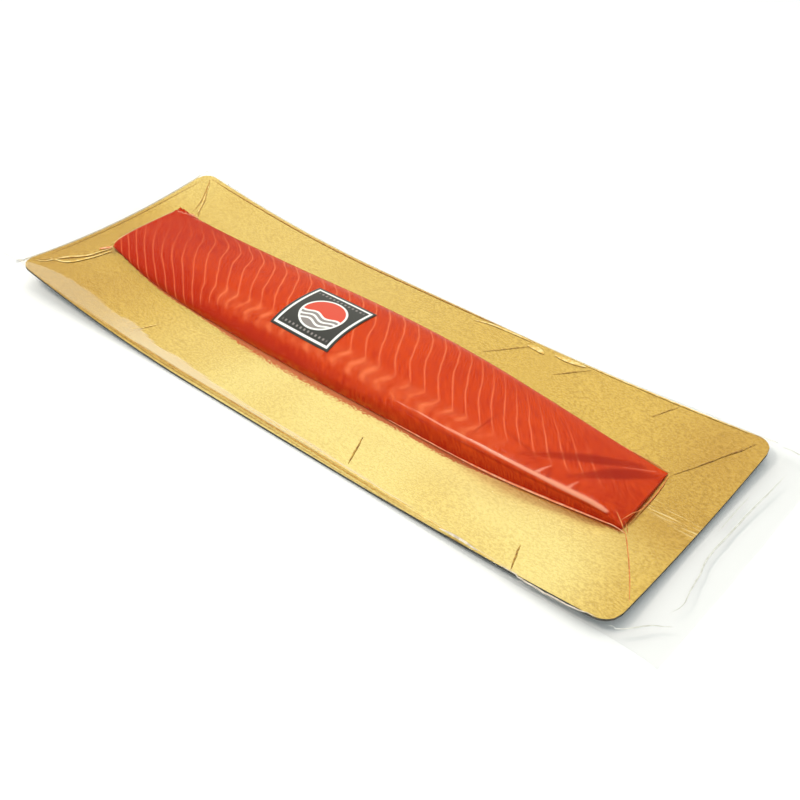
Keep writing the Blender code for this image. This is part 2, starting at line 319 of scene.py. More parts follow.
def makeBoardBack():
    # The board's black-coated underside and cut edge: dark, dry and slightly fibrous.
    look = {"dark": "#26241F", "pale": "#4A463C", "fibre": 0.6667, "relief": 0.0001}        # mm; metres
    material, tree = newMaterial("blackCoatedBoard")
    place = addNode(tree, "ShaderNodeTexCoord").outputs["Object"]
    fibre = addNode(tree, "ShaderNodeTexNoise", {
        "Vector": place, "Scale": 1000 / look["fibre"], "Detail": 3.0})
    tone = addNode(tree, "ShaderNodeMix", {
        "Factor": fibre, "A": hexColor(look["dark"]), "B": hexColor(look["pale"])}, data_type="RGBA")
    bump = addNode(tree, "ShaderNodeBump", {"Height": fibre, "Strength": 0.3, "Distance": look["relief"]})
    surface = addNode(tree, "ShaderNodeBsdfPrincipled", {
        "Base Color": tone, "Roughness": 0.62, "Normal": bump})
    addNode(tree, "ShaderNodeOutputMaterial", {"Surface": surface})
    return material


def boardTree(foil, back):
    # a rounded sheet, bowed up at its two ends and thickened upwards
    tree = bpy.data.node_groups.new("bowedBoard", "GeometryNodeTree")
    for name, key in (("Length", "length"), ("Width", "width"), ("Thickness", "thickness"),
                      ("Corner Radius", "cornerRadius"), ("Flat Half", "flatHalf"), ("Left Rise", "leftRise"),
                      ("Left Corner Rise", "leftCornerRise"), ("Right Rise", "rightRise"),
                      ("Right Corner Rise", "rightCornerRise"), ("Base Height", "base")):
        socket = tree.interface.new_socket(name, in_out="INPUT", socket_type="NodeSocketFloat")
        socket.default_value = board[key]
    tree.interface.new_socket("Geometry", in_out="OUTPUT", socket_type="NodeSocketGeometry")
    given = {socket.name: socket for socket in addNode(tree, "NodeGroupInput").outputs}
    rows, columns = board["cells"]
    sheet = addNode(tree, "GeometryNodeMeshGrid", {
        "Size X": 2.0, "Size Y": 2.0, "Vertices X": rows + 1, "Vertices Y": columns + 1})
    axes = addNode(tree, "ShaderNodeSeparateXYZ", {0: addNode(tree, "GeometryNodeInputPosition")})
    given["along"] = axes.outputs["X"]
    given["across"] = axes.outputs["Y"]
    steps = (
        ("halfLength", "MULTIPLY", "Length", 0.5),
        ("halfWidth", "MULTIPLY", "Width", 0.5),
        ("squared", "MULTIPLY", "along", "along"),
        ("eased", "MULTIPLY_ADD", "squared", -0.25, 1.25),      # cells get shorter towards the ends
        ("place", "MULTIPLY", "along", "eased"),
        ("x", "MULTIPLY", "place", "halfLength"),
        ("distance", "ABSOLUTE", "x"),
        ("straight", "SUBTRACT", "halfLength", "Corner Radius"),
        ("into", "SUBTRACT", "distance", "straight"),
        ("intoCorner", "MAXIMUM", "into", 0.0),
        ("intoSquared", "MULTIPLY", "intoCorner", "intoCorner"),
        ("radiusSquared", "MULTIPLY", "Corner Radius", "Corner Radius"),
        ("left", "SUBTRACT", "radiusSquared", "intoSquared"),
        ("chordSquared", "MAXIMUM", "left", 0.0),
        ("chord", "SQRT", "chordSquared"),
        ("inner", "SUBTRACT", "halfWidth", "Corner Radius"),
        ("reach", "ADD", "inner", "chord"),
        ("y", "MULTIPLY", "across", "reach"),
        ("side", "DIVIDE", "y", "halfWidth"),
        ("sideSquared", "MULTIPLY", "side", "side"),
        ("span", "SUBTRACT", "halfLength", "Flat Half"),
        ("beyondFlat", "SUBTRACT", "distance", "Flat Half"),
        ("beyond", "MAXIMUM", "beyondFlat", 0.0),
        ("share", "DIVIDE", "beyond", "span"),
        ("shareSquared", "MULTIPLY", "share", "share"),
        ("leftLift", "MULTIPLY_ADD", "Left Corner Rise", "sideSquared", "Left Rise"),
        ("rightLift", "MULTIPLY_ADD", "Right Corner Rise", "sideSquared", "Right Rise"),
        ("onRight", "GREATER_THAN", "x", 0.0),
        ("difference", "SUBTRACT", "rightLift", "leftLift"),
        ("lift", "MULTIPLY_ADD", "difference", "onRight", "leftLift"),
        ("z", "MULTIPLY_ADD", "lift", "shareSquared", "Base Height"),
    )
    for name, operation, *operands in steps:
        given[name] = addNode(tree, "ShaderNodeMath", {
            i: given.get(operand, operand) for i, operand in enumerate(operands)}, operation=operation)
    spot = addNode(tree, "ShaderNodeCombineXYZ", {0: given["x"], 1: given["y"], 2: given["z"]})
    bent = addNode(tree, "GeometryNodeSetPosition", {"Geometry": sheet, "Position": spot})
    raised = addNode(tree, "GeometryNodeExtrudeMesh", {
        "Mesh": bent, "Offset Scale": given["Thickness"], "Individual": False}, mode="FACES")
    turned = addNode(tree, "GeometryNodeFlipFaces", {0: bent})
    underside = addNode(tree, "GeometryNodeSetMaterial", {"Geometry": turned, "Material": back})
    rim = addNode(tree, "GeometryNodeSetMaterial", {"Geometry": raised, "Material": back})
    face = addNode(tree, "GeometryNodeSetMaterial", {
        "Geometry": rim, "Selection": raised.outputs["Top"], "Material": foil})
    joined = addNode(tree, "GeometryNodeJoinGeometry")
    for part in (face, underside):
        tree.links.new(part.outputs[0], joined.inputs[0])
    merged = addNode(tree, "GeometryNodeMergeByDistance", {"Geometry": joined, "Distance": 0.00001})
    solid = addNode(tree, "GeometryNodeRealizeInstances", {0: merged})
    addNode(tree, "NodeGroupOutput", {0: solid})
    return tree


def runTree(name, tree, values=None, start=None):
    # runs a Geometry Nodes tree and keeps its result as a plain mesh object
    holder = bpy.data.objects.new(name + "Maker", start or bpy.data.meshes.new(name + "Start"))
    bpy.context.scene.collection.objects.link(holder)
    modifier = holder.modifiers.new("nodes", "NODES")
    modifier.node_group = tree
    for socket in tree.interface.items_tree:
        if socket.in_out == "INPUT" and socket.name in (values or {}):
            modifier[socket.identifier] = values[socket.name]
    bpy.context.view_layer.update()
    evaluated = holder.evaluated_get(bpy.context.evaluated_depsgraph_get())
    mesh = bpy.data.meshes.new_from_object(evaluated)
    holder.modifiers.remove(modifier)
    bpy.data.objects.remove(holder)
    mesh.name = name
    piece = bpy.data.objects.new(name, mesh)
    bpy.context.scene.collection.objects.link(piece)
    return piece


def makeBoard():
    foil = makeFoil()
    back = makeBoardBack()
    piece = runTree("goldBoard", boardTree(foil, back))
    places = np.empty(len(piece.data.vertices) * 3, np.float32)
    piece.data.vertices.foreach_get("co", places)
    setAttributes(piece.data, foilZones(places[0::3], places[1::3]))
    piece.data.shade_smooth()
    piece.data.set_sharp_from_angle(angle=math.radians(40))
    keepAs(piece, "gold_board", "card")
    print("gold board:", len(piece.data.polygons), "faces")


fillet = {
    "base": boardTop + 0.0003,
    "nearEdge": ((-0.1805, -0.0203), (-0.140, -0.0262), (-0.060, -0.0288), (0.050, -0.0284), (0.105, -0.0277),
                 (0.173, -0.0203)),
    "farEdge": ((-0.1788, 0.0322), (-0.150, 0.0332), (-0.090, 0.0355), (0.0, 0.0356), (0.090, 0.0308),
                (0.1705, 0.0240)),
    # (share of the length, value)
    "nearHeight": ((0.0, 0.0046), (0.12, 0.0092), (0.3, 0.0124), (0.5, 0.0134), (0.7, 0.0134), (0.8, 0.0138),
                   (0.92, 0.0110), (0.965, 0.0092), (1.0, 0.0030)),
    "farHeight": ((0.0, 0.0045), (0.12, 0.0065), (0.25, 0.0090), (0.5, 0.0130), (0.68, 0.0126),
                  (0.8, 0.0086), (0.9, 0.0044), (0.97, 0.0016), (1.0, 0.0007)),
    "crown": ((0.0, 0.0006), (0.2, 0.0030), (0.4, 0.0044), (0.6, 0.0042), (0.8, 0.0024), (1.0, 0.0004)),
    "nearSquareness": ((0.0, 2.6), (0.3, 2.8), (0.5, 3.0), (0.62, 5.0), (0.75, 8.0), (1.0, 8.0)),
    "farSquareness": ((0.0, 5.0), (0.5, 4.0), (1.0, 5.0)),
    "rows": 560,
    "columns": 130,                 # over the top
    "underColumns": 26,
    "foldDepth": 0.00025,           # of the folds that the film presses into the flesh
}
shape = {key: smoothThrough(fillet[key]) for key in (
    "nearEdge", "farEdge", "nearHeight", "farHeight", "crown", "nearSquareness", "farSquareness")}


def cutPlaces(across):
    # x of the two cuts, which run slightly slanted over the fish
    return [blendValues(fillet["nearEdge"][end][0], fillet["farEdge"][end][0], across) for end in (0, -1)]


def filletPlan(share, across):
    # (x, y) at a share of the length and a share of the width
    x = blendValues(*cutPlaces(across), share)
    return x, blendValues(shape["nearEdge"](x), shape["farEdge"](x), across)


def filletShares(x, y):
    # the same the other way round
    across = (y - shape["nearEdge"](x)) / (shape["farEdge"](x) - shape["nearEdge"](x))
    leftCut, rightCut = cutPlaces(across)
    return (x - leftCut) / (rightCut - leftCut), across


def shoulder(share, across):
    # the height that the section's curve would reach if its sides were upright
    flatTop = blendValues(shape["nearHeight"](share), shape["farHeight"](share), across)
    return flatTop + shape["crown"](share) * 4 * across * (1 - across)


def filletHeight(share, across):
    side = 2 * across - 1
    power = np.where(side < 0, shape["nearSquareness"](share), shape["farSquareness"](share))
    return shoulder(share, across) * (1 - np.minimum(np.abs(side), 1) ** power) ** (1 / power)


def sectionLine(share, foot=0.0):
    # one section's top, drawn finely from the near foot to the far foot, as (across, height, girth share)
    angle = np.linspace(0, math.pi, 361)
    side = -np.cos(angle)
    power = 2 / np.where(side < 0, shape["nearSquareness"](share), shape["farSquareness"](share))
    across = (1 + np.sign(side) * np.abs(side) ** power) / 2
    height = shoulder(share, across) * np.abs(np.sin(angle)) ** power
    nearX, nearY = filletPlan(share, 0.0)
    farX, farY = filletPlan(share, 1.0)
    width = math.hypot(farX - nearX, farY - nearY)
    lengths = np.concatenate([[0], np.cumsum(np.hypot(np.diff(across) * width, np.diff(height)))])
    girth = lengths / lengths[-1]
    if foot:
        middle = len(angle) // 2
        nearFoot = min(foot, height[:middle].max() / 2)
        farFoot = min(foot, height[middle:].max() / 2)
        first = np.interp(nearFoot, height[:middle // 2], girth[:middle // 2])
        last = np.interp(-farFoot, -height[-middle // 2:], girth[-middle // 2:])
        return across, height, girth, first, last
    return across, height, girth, 0.0, 1.0


def girthPoints(share, girths):
    # (across, height) at shares of a section's girth
    across, height, girth, first, last = sectionLine(share)
    return np.interp(girths, girth, across), np.interp(girths, girth, height)


# How far along the fish each pale muscle line has moved, in mm, at shares of the girth from the near foot to
# the far foot, for eight places along the fillet. Beside the upright edge the lines hook back.
lineDrift = {
    0.05: ((0.0, 41), (0.07, 36), (0.12, 31.4), (0.2, 23.2), (0.28, 15.5), (0.33, 11.8), (0.41, 6.2),
           (0.51, 0.5), (0.61, -4.5), (0.71, -12.5), (0.807, -21.5), (0.903, -28), (1.0, -34)),
    0.16: ((0.0, 41), (0.073, 37), (0.123, 33.4), (0.163, 28.9), (0.203, 24.9), (0.243, 20.4),
           (0.283, 16.8), (0.333, 12.3), (0.413, 6.4), (0.513, 0.2), (0.613, -3.7), (0.713, -9.1),
           (0.809, -17.9), (0.904, -28), (1.0, -34)),
    0.22: ((0.0, 36), (0.067, 33), (0.117, 29), (0.192, 23), (0.237, 20.5), (0.277, 17.7), (0.327, 13.5),
           (0.407, 7.9), (0.507, 1.2), (0.607, -2.8), (0.707, -8), (0.805, -18.2), (0.902, -27), (1.0, -33)),
    0.27: ((0.0, 26), (0.065, 24), (0.115, 21.5), (0.19, 16.3), (0.22, 16.3), (0.265, 16.8), (0.325, 12.9),
           (0.405, 7.2), (0.505, 1.8), (0.605, -3.5), (0.705, -9.2), (0.803, -18.3), (0.902, -25),
           (1.0, -31)),
    0.33: ((0.0, 19), (0.068, 17.5), (0.118, 15), (0.193, 9.5), (0.223, 11.5), (0.263, 14.3), (0.328, 11.3),
           (0.408, 6.3), (0.508, 1.5), (0.608, -3.4), (0.708, -8.9), (0.805, -17.8), (0.903, -25.8),
           (1.0, -28)),
    0.50: ((0.0, 15), (0.082, 13.5), (0.132, 12), (0.202, 8.8), (0.237, 11), (0.277, 13.2), (0.342, 9.7),
           (0.422, 4.9), (0.522, 1.2), (0.622, -3.8), (0.722, -10.5), (0.815, -17.5), (0.907, -23),
           (1.0, -26)),
    0.65: ((0.0, 16), (0.088, 14.5), (0.138, 13), (0.208, 10), (0.243, 12.5), (0.283, 14.8), (0.348, 11),
           (0.428, 5.4), (0.528, 0.4), (0.628, -4), (0.728, -9.4), (0.819, -16), (0.909, -21.5), (1.0, -28)),
    0.85: ((0.0, 16), (0.09, 15), (0.14, 13.5), (0.21, 11), (0.245, 13), (0.29, 14.8), (0.35, 11),
           (0.43, 6.2), (0.53, 0), (0.63, -6), (0.73, -13.5), (0.82, -20), (0.91, -26), (1.0, -32)),
}
# mm between the lines along the fish, at mm from the left cut
lineSpacing = smoothThrough(((0, 9.4), (40, 10.0), (80, 9.8), (120, 9.4), (160, 9.9), (200, 9.9), (240, 8.85),
                             (275, 7.8), (310, 9.2), (353, 9.4)))
firstLine = 8.0                     # mm from the left cut
meanStray = 0.23                    # what the material's two noises add to the count on average
# the lines begin and end at these shares of the girth, by share of the length
lineStartGirth = smoothThrough(((0.0, -0.10), (0.18, -0.04), (0.26, 0.12), (0.33, 0.245), (0.5, 0.257),
                                (0.8, 0.28), (1.0, 0.33)))
lineEndGirth = smoothThrough(((0.0, 0.98), (0.5, 0.98), (0.68, 0.855), (0.82, 0.72), (1.0, 0.56)))


def musclePhase(shares, girths):
    # counts the muscle lines: a line shows at every whole number
    stations = sorted(lineDrift)
    drifts = np.array([smoothThrough(lineDrift[s])(girths) for s in stations])
    lengthMm = (fillet["nearEdge"][-1][0] - fillet["nearEdge"][0][0]) / millimetre
    fine = np.linspace(-60, lengthMm + 60, 2000)
    counts = np.concatenate([[0], np.cumsum(np.diff(fine) / lineSpacing(fine[:-1]))])
    counts -= np.interp(firstLine, fine, counts)
    phase = np.empty((len(shares), len(girths)))
    for i, share in enumerate(shares):
        drift = np.array([np.interp(share, stations, drifts[:, j]) for j in range(len(girths))])
        phase[i] = np.interp(share * lengthMm - drift, fine, counts)
    return phase - meanStray


def lineStrength(shares, girths):
    # how clearly the lines show: less in the pale far corner of the left end, and in their hooks
    share = shares[:, None]
    girth = girths[None, :]
    start = lineStartGirth(shares)[:, None]
    end = lineEndGirth(shares)[:, None]
    strength = smoothStep(start - 0.04, start + 0.05, girth) * smoothStep(end + 0.14, end - 0.22, girth)
    paleCorner = smoothStep(0.24, 0.04, share) * smoothStep(0.22, 0.52, girth)
    hooks = smoothStep(0.38, 0.30, girth) * smoothStep(0.28, 0.36, share)
    strength = 0.80 * strength * (1 - 0.75 * paleCorner) * (1 - 0.4 * hooks)
    return strength * smoothStep(1.0, 0.90, share)


def fatBand(shares, girths):
    # the soft pale band where the lines run out, beside the upright edge
    share = shares[:, None]
    girth = girths[None, :]
    band = smoothStep(0.12, 0.18, girth) * smoothStep(0.33, 0.26, girth)
    return 0.9 * band * smoothStep(0.22, 0.30, share) * smoothStep(0.88, 0.70, share)


# Folds of the film over the right end, which dent the flesh and are painted dark as shade. Each is a row of
# points: share of the length, share of the girth, half width in mm, strength.
pressedFolds = (
    ((0.8435, 0.249, 1.2, 0.25), (0.8855, 0.428, 3.0, 0.60), (0.9237, 0.606, 4.0, 0.75),
     (0.9695, 0.857, 2.4, 0.40)),
    ((0.912, 0.262, 1.2, 0.25), (0.935, 0.418, 3.2, 0.65), (0.954, 0.580, 4.6, 0.80),
     (0.977, 0.759, 3.6, 0.60), (0.992, 0.855, 2.0, 0.35)),
    ((0.779, 0.505, 0.4, 0.15), (0.776, 0.365, 0.8, 0.55), (0.773, 0.214, 0.6, 0.30)),
    ((0.893, 0.175, 0.8, 0.60), (0.888, 0.275, 0.4, 0.45)),
    ((0.934, 0.168, 0.6, 0.55), (0.93, 0.259, 0.4, 0.35)),
    ((0.66, 0.128, 0.5, 0.20), (0.8, 0.134, 0.7, 0.50), (0.98, 0.102, 0.8, 0.50)),
    ((0.87, 0.253, 0.8, 0.30), (0.845, 0.331, 1.0, 0.45), (0.8, 0.366, 1.0, 0.10)),
    ((0.022, 0.947, 0.5, 0.80), (0.034, 0.908, 0.8, 0.60), (0.05, 0.932, 0.4, 0.70)),
)
# Glints of light along the ridge and on the folds, in the same measures.
glints = (
    ((0.640, 0.152, 0.20, 0.00), (0.664, 0.158, 0.25, 0.60), (0.700, 0.161, 0.30, 0.80),
     (0.740, 0.166, 0.35, 0.85), (0.790, 0.172, 0.60, 0.88), (0.825, 0.170, 0.75, 0.90),
     (0.853, 0.167, 0.90, 0.90), (0.880, 0.163, 1.05, 0.90), (0.910, 0.158, 1.45, 0.90),
     (0.955, 0.146, 1.60, 0.90), (0.968, 0.134, 1.50, 0.90), (0.976, 0.122, 1.10, 0.80)),
    ((0.876, 0.168, 1.2, 0.60), (0.886, 0.286, 0.2, 0.45)),
    ((0.922, 0.168, 1.0, 0.60), (0.927, 0.262, 0.2, 0.45)),
    ((0.953, 0.694, 0.4, 0.15), (0.986, 0.903, 0.5, 0.25)),
    ((0.028, 0.960, 0.4, 0.50), (0.040, 0.940, 0.5, 0.35)),
    ((0.006, 0.870, 0.5, 0.50), (0.020, 0.900, 0.7, 0.75), (0.030, 0.935, 0.5, 0.45)),
    ((0.040, 0.895, 0.4, 0.40), (0.056, 0.930, 0.6, 0.60), (0.066, 0.955, 0.3, 0.35)),
)
foldScale = (353.5, 72.0)           # mm, the fillet's length and the girth of its top
# where the upright side turns into the top, as a share of the girth
ridgeGirth = smoothThrough(((0.0, 0.040), (0.12, 0.071), (0.3, 0.105), (0.5, 0.122), (0.6, 0.139),
                            (0.8, 0.164), (0.9, 0.158), (0.96, 0.145), (1.0, 0.070)))


def deepToneAndShade(shares, girths):
    # the flesh is darker towards both cuts; painted shade darkens it from the ridge down to the foot of the
    # upright side, and low on the near part of its left half
    share = shares[:, None]
    girth = girths[None, :]
    ridge = ridgeGirth(shares)[:, None]
    left = 0.72 * smoothStep(0.34, 0.05, share)
    right = (0.30 * smoothStep(0.80, 0.93, share) * smoothStep(0.14, 0.20, girth)
             * (1 - 0.8 * smoothStep(0.72, 0.92, girth)))
    steep = smoothStep(0.40, 0.60, share)
    side = (smoothStep(blendValues(1.4, 1.0, steep) * ridge, blendValues(0.4, -0.1, steep) * ridge, girth)
            * smoothStep(0.03, 0.13, share) * (0.98 - 0.18 * steep))
    lower = 0.42 * smoothStep(0.36, 0.14, girth) * smoothStep(0.60, 0.34, share)
    return np.minimum(np.maximum(np.maximum(left, right), side) + lower, 1)


def footLight(shares, girths):
    # the lowest part of the side, which the foil lights from below
    share = shares[:, None]
    girth = girths[None, :]
    reach = 0.45 * ridgeGirth(shares)[:, None]
    inMiddle = smoothStep(0.10, 0.25, share) * smoothStep(0.72, 0.60, share)
    return smoothStep(reach, 0.4 * reach, girth) * inMiddle


def drawFolds(shares, girths, folds):
    # the strength of the strongest fold at each place of the fillet
    along, across = np.meshgrid(shares * foldScale[0], girths * foldScale[1], indexing="ij")
    field = np.zeros(along.shape)
    for fold in folds:
        for start, end in zip(fold[:-1], fold[1:]):
            x0, y0 = start[0] * foldScale[0], start[1] * foldScale[1]
            x1, y1 = end[0] * foldScale[0], end[1] * foldScale[1]
            t = ((along - x0) * (x1 - x0) + (across - y0) * (y1 - y0)) / ((x1 - x0) ** 2 + (y1 - y0) ** 2)
            t = np.clip(t, 0, 1)
            distance = np.hypot(along - blendValues(x0, x1, t), across - blendValues(y0, y1, t))
            width, strength = (blendValues(start[k], end[k], t) for k in (2, 3))
            field = np.maximum(field, strength * smoothStep(width * 1.3, width * 0.45, distance))
    return field


scraps = {"place": (-0.1765, 0.0310), "spread": (0.0055, 0.0040), "size": 0.0032, "height": 0.0026}


def scrapRelief(x, y):
    # ragged shreds at the far end of the left cut
    near = np.exp(-((x - scraps["place"][0]) / scraps["spread"][0]) ** 2
                  - ((y - scraps["place"][1]) / scraps["spread"][1]) ** 2)
    rough = 0.5 + 0.5 * softNoise(x, y, scraps["size"], 11)
    return scraps["height"] * near * rough


def makeSalmon():
    # Cold-smoked salmon: moist, slightly translucent orange-red flesh with thin pale fat lines between the
    # muscles and a milky band where they run out. Painted shade darkens it in the folds that the film presses
    # into it and down its upright side.
    look = {
        "flesh": "#D94817",
        # deeper flesh, also the colour of the painted shade down the upright side
        "deepFleshAndShade": "#B82A10",
        "footLight": "#C8601E",
        # the colour of the painted shade in the film's folds
        "foldShade": "#98190A",
        "fat": "#EE7C4E",
        "milk": "#EC7446",
        "shine": "#F9A98A",         # light caught along the ridge
        "lineWander": 0.30,         # how far the lines stray, as a share of the distance between two
        "lineJitter": 0.16,         # and how ragged they are
        "lineWidth": 0.022,         # in the same share
        "bends": 12.5,              # mm, size of the lines' bends
        "raggedness": 2.381,        # mm
        "clouds": 6.667,            # mm, in the milky band
        "patches": 26.316,          # mm, of deeper colour
        "fibres": (9.0, 13.0),      # fibres between two lines, and along one: coarser than real, to show
        "streaks": (3.3333, 1.6667, 0.6667),        # mm, of the foil's light low on the side
    }
    material, tree = newMaterial("coldSmokedSalmon")
    place = addNode(tree, "ShaderNodeTexCoord").outputs["Object"]
    given = {name: addNode(tree, "ShaderNodeAttribute", attribute_name=name).outputs["Fac"] for name in (
        "muscle", "lineStrength", "fatBand", "girth", "pressedAndShaded", "glint", "deepAndShade", "footLight")}
    wander = addNode(tree, "ShaderNodeTexNoise", {
        "Vector": place, "Scale": 1000 / look["bends"], "Detail": 2.0})
    jitter = addNode(tree, "ShaderNodeTexNoise", {
        "Vector": place, "Scale": 1000 / look["raggedness"], "Detail": 4.0, "Roughness": 0.62})
    strayed = addNode(tree, "ShaderNodeMath", {
        0: wander, 1: look["lineWander"], 2: given["muscle"]}, operation="MULTIPLY_ADD")
    count = addNode(tree, "ShaderNodeMath", {
        0: jitter, 1: look["lineJitter"], 2: strayed}, operation="MULTIPLY_ADD")
    offLine = addNode(tree, "ShaderNodeMath", {0: count, 1: 0.5}, operation="PINGPONG")
    uneven = addNode(tree, "ShaderNodeMath", {0: jitter, 1: -0.07, 2: offLine}, operation="MULTIPLY_ADD")
    line = addNode(tree, "ShaderNodeMapRange", {
        "Value": uneven, "From Min": look["lineWidth"], "From Max": -0.020}, interpolation_type="SMOOTHSTEP")
    halo = addNode(tree, "ShaderNodeMapRange", {
        "Value": offLine, "From Min": 0.20, "From Max": 0.0, "To Max": 0.18}, interpolation_type="SMOOTHSTEP")
    both = addNode(tree, "ShaderNodeMath", {0: line, 1: halo}, operation="MAXIMUM")
    drawn = addNode(tree, "ShaderNodeMath", {0: both, 1: given["lineStrength"]}, operation="MULTIPLY")
    # the lines smear out into the milky band
    blur = addNode(tree, "ShaderNodeMapRange", {
        "Value": offLine, "From Min": 0.36, "From Max": 0.02, "To Min": 0.35},
        interpolation_type="SMOOTHSTEP")
    cloud = addNode(tree, "ShaderNodeTexNoise", {
        "Vector": place, "Scale": 1000 / look["clouds"], "Detail": 3.0})
    wisps = addNode(tree, "ShaderNodeMapRange", {"Value": cloud, "From Min": 0.30, "From Max": 0.62})
    wispy = addNode(tree, "ShaderNodeMath", {0: blur, 1: wisps}, operation="MULTIPLY")
    smear = addNode(tree, "ShaderNodeMath", {0: wispy, 1: given["fatBand"]}, operation="MULTIPLY")
    # fine fibres along the muscles, and broad patches of deeper colour
    between = addNode(tree, "ShaderNodeMath", {0: count, 1: look["fibres"][0]}, operation="MULTIPLY")
    alongLine = addNode(tree, "ShaderNodeMath", {
        0: given["girth"], 1: look["fibres"][1]}, operation="MULTIPLY")
    fibrePlace = addNode(tree, "ShaderNodeCombineXYZ", {0: between, 1: alongLine})
    fibre = addNode(tree, "ShaderNodeTexNoise", {
        "Vector": fibrePlace, "Scale": 1.0, "Detail": 4.0, "Roughness": 0.65})
    patches = addNode(tree, "ShaderNodeTexNoise", {
        "Vector": place, "Scale": 1000 / look["patches"], "Detail": 2.0})
    streaky = addNode(tree, "ShaderNodeMath", {0: fibre, 1: 5.2, 2: patches}, operation="MULTIPLY_ADD")
    # patches and streaks of deeper flesh, plus painted shade down the upright side
    darkening = addNode(tree, "ShaderNodeMath", {0: given["deepAndShade"], 1: 1.1, 2: streaky}, operation="MULTIPLY_ADD")
    deepAndShadeShare = addNode(tree, "ShaderNodeMapRange", {"Value": darkening, "From Min": 2.65, "From Max": 4.10})
    # low on the side the flesh shows the foil's light in ragged streaks
    raggedPlace = addNode(tree, "ShaderNodeMapping", {
        "Vector": place, "Scale": tuple(1000 / size for size in look["streaks"])})
    ragged = addNode(tree, "ShaderNodeTexNoise", {"Vector": raggedPlace, "Scale": 1.0, "Detail": 2.0})
    caught = addNode(tree, "ShaderNodeMapRange", {
        "Value": ragged, "From Min": 0.44, "From Max": 0.62, "To Max": 0.75})
    goldLit = addNode(tree, "ShaderNodeMath", {0: caught, 1: given["footLight"]}, operation="MULTIPLY")
    color = hexColor(look["flesh"])
    for share, shade in ((deepAndShadeShare, "deepFleshAndShade"), (goldLit, "footLight"), (smear, "milk"), (drawn, "fat"),
                         (given["pressedAndShaded"], "foldShade"), (given["glint"], "shine")):
        color = addNode(tree, "ShaderNodeMix", {
            "Factor": share, "A": color, "B": hexColor(look[shade])}, data_type="RGBA")
    relief = addNode(tree, "ShaderNodeMath", {0: drawn, 1: 0.6, 2: fibre}, operation="MULTIPLY_ADD")
    bump = addNode(tree, "ShaderNodeBump", {"Height": relief, "Strength": 0.25, "Distance": 0.0002})
    surface = addNode(tree, "ShaderNodeBsdfPrincipled", {
        "Base Color": color, "Roughness": 0.48, "IOR": 1.38, "Specular IOR Level": 0.03,
        "Subsurface Weight": 0.12, "Subsurface Radius": (0.004, 0.0012, 0.0006), "Subsurface Scale": 1.0,
        "Normal": bump})
    addNode(tree, "ShaderNodeOutputMaterial", {"Surface": surface})
    return material


def closeCut(points, faces, loop, flip):
    # closes one cut by rings of cells that shrink to its middle line, and returns the points with the rings'
    outline = points[loop]
    middle = outline.mean(axis=0)
    rings = 7
    for ring in range(1, rings):
        share = ring / rings
        inset = outline.copy()
        inset[:, 1] = blendValues(outline[:, 1], middle[1] + (outline[:, 1] - middle[1]) * 0.75, share)
        inset[:, 2] = blendValues(outline[:, 2], middle[2], share)
        inner = list(range(len(points), len(points) + len(loop)))
        points = np.concatenate([points, inset])
        for k in range(len(loop)):
            n = (k + 1) % len(loop)
            quad = [loop[k], loop[n], inner[n], inner[k]]
            faces.append(quad[::-1] if flip else quad)
        loop = inner
    faces.append(loop[::-1] if flip else loop)
    return points


def makeFillet():
    shares = np.linspace(0, 1, fillet["rows"])
    girths = np.linspace(0, 1, fillet["columns"])
    under = np.linspace(1, 0, fillet["underColumns"] + 1)[1:-1]
    pressedAndShaded = drawFolds(shares, girths, pressedFolds)
    level = np.zeros(len(under))
    points = np.empty((len(shares), len(girths) + len(under), 3))
    for i, share in enumerate(shares):
        across, height = girthPoints(share, girths)
        across = np.concatenate([across, under])
        height = np.concatenate([height, level])
        x, y = filletPlan(share, across)
        relief = np.concatenate([-fillet["foldDepth"] * pressedAndShaded[i], level])
        top = np.where(height > 0.0005, scrapRelief(x, y) + relief, 0)
        points[i] = np.stack([x, y, bow(x, y) + fillet["base"] + height + top], axis=-1)
    # quads round every section, which is a closed ring
    count = points.shape[1]
    i, j = np.meshgrid(np.arange(len(shares) - 1), np.arange(count), indexing="ij")
    a = (i * count + j).ravel()
    b = (i * count + (j + 1) % count).ravel()
    faces = np.stack([a, a + count, b + count, b], axis=1).tolist()
    everything = points.reshape(-1, 3)
    for first, flip in ((0, False), ((len(shares) - 1) * count, True)):
        everything = closeCut(everything, faces, list(range(first, first + count)), flip)
    drawn = {
        "muscle": musclePhase(shares, girths),
        "lineStrength": lineStrength(shares, girths),
        "fatBand": fatBand(shares, girths),
        "pressedAndShaded": pressedAndShaded,
        "glint": drawFolds(shares, girths, glints),
        "deepAndShade": deepToneAndShade(shares, girths),
        "footLight": footLight(shares, girths),
        "girth": np.broadcast_to(girths, pressedAndShaded.shape),
    }
    attributes = {}
    for key, values in drawn.items():
        filled = np.zeros((len(shares), count))
        filled[:, :len(girths)] = values
        filled[:, len(girths):] = values[:, -1:] if key in ("muscle", "girth") else 0
        attributes[key] = np.zeros(len(everything))
        attributes[key][:filled.size] = filled.ravel()
    piece = newPiece("salmonFillet", everything, faces, [makeSalmon()], attributes)
    piece.data.set_sharp_from_angle(angle=math.radians(60))
    keepAs(piece, "salmon", "fillet")
    print("salmon fillet:", len(faces), "faces")


